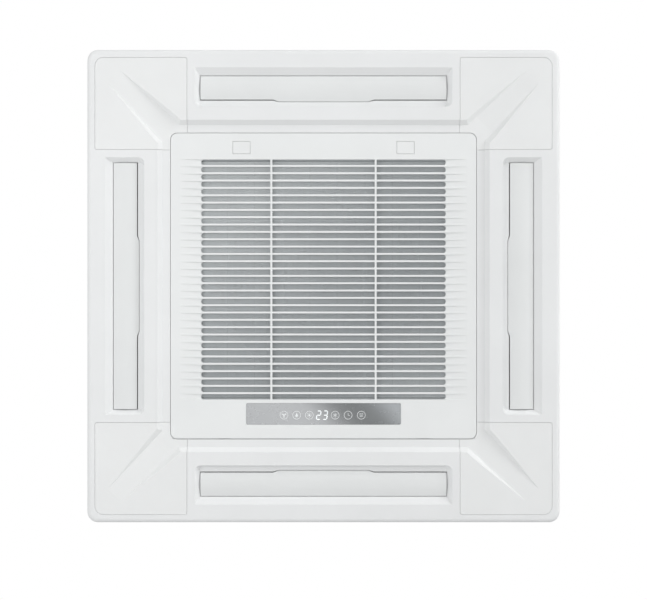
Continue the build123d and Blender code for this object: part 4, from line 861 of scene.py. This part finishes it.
def light_world():
    """White wherever the background is seen or mirrored, and a little less as light on the object."""
    world = bpy.data.worlds.new("room")
    bpy.context.scene.world = world
    world.use_nodes = True
    tree = world.node_tree
    tree.nodes.clear()
    output = tree.nodes.new("ShaderNodeOutputWorld")
    light = tree.nodes.new("ShaderNodeBackground")
    light.inputs["Color"].default_value = (1, 1, 1, 1)
    light.inputs["Strength"].default_value = room_light
    white = tree.nodes.new("ShaderNodeBackground")
    white.inputs["Color"].default_value = (1, 1, 1, 1)
    choose = tree.nodes.new("ShaderNodeMixShader")
    join = tree.links.new
    join(seen_or_mirrored(tree), choose.inputs[0])
    join(light.outputs[0], choose.inputs[1])
    join(white.outputs[0], choose.inputs[2])
    join(choose.outputs[0], output.inputs["Surface"])


def aim(thing, target):
    """Turns a lamp to face a point."""
    thing.rotation_mode = "QUATERNION"
    thing.rotation_quaternion = (Vector(target) - thing.location).to_track_quat("-Z", "Y")


def add_lamp(name, place, drop, power, size, glare):
    """A square lamp below the panel, aimed at the middle of its face; glare lets gloss mirror it."""
    lamp = bpy.data.lights.new(name, "AREA")
    lamp.energy = power
    lamp.size = size
    holder = bpy.data.objects.new(name, lamp)
    holder.location = (*place, cad_low.z - drop)
    holder.visible_camera = False
    holder.visible_glossy = glare
    bpy.context.scene.collection.objects.link(holder)
    aim(holder, (0, 0, cad_low.z))


def add_sun(name, direction, strength, softness):
    """Soft light from far away; softness is its angle in degrees."""
    lamp = bpy.data.lights.new(name, "SUN")
    lamp.energy = strength
    lamp.angle = math.radians(softness)
    holder = bpy.data.objects.new(name, lamp)
    holder.location = -floor_radius * Vector(direction)
    bpy.context.scene.collection.objects.link(holder)
    aim(holder, (0, 0, 0))


def make_camera():
    """Looks straight up at the panel, with the latch side at the picture's top."""
    data = bpy.data.cameras.new("camera")
    data.sensor_width = sensor_width
    panel_width = cad_high.x - cad_low.x
    data.lens = panel_pixels / picture_width * sensor_width * camera_distance / panel_width
    holder = bpy.data.objects.new("camera", data)
    holder.location = (0, aim_y, cad_low.z - camera_distance)
    holder.rotation_euler = (math.pi, 0, 0)
    bpy.context.scene.collection.objects.link(holder)
    bpy.context.scene.camera = holder


make_net()
make_fins()
make_case_screws()
make_hanger_screws()
make_prints()
make_floor()
light_world()
add_lamp("side lamp", **side_lamp)
add_lamp("front lamp", **front_lamp)
add_sun("high lamp", **high_lamp)
make_camera()
bpy.context.scene.view_settings.view_transform = "Standard"
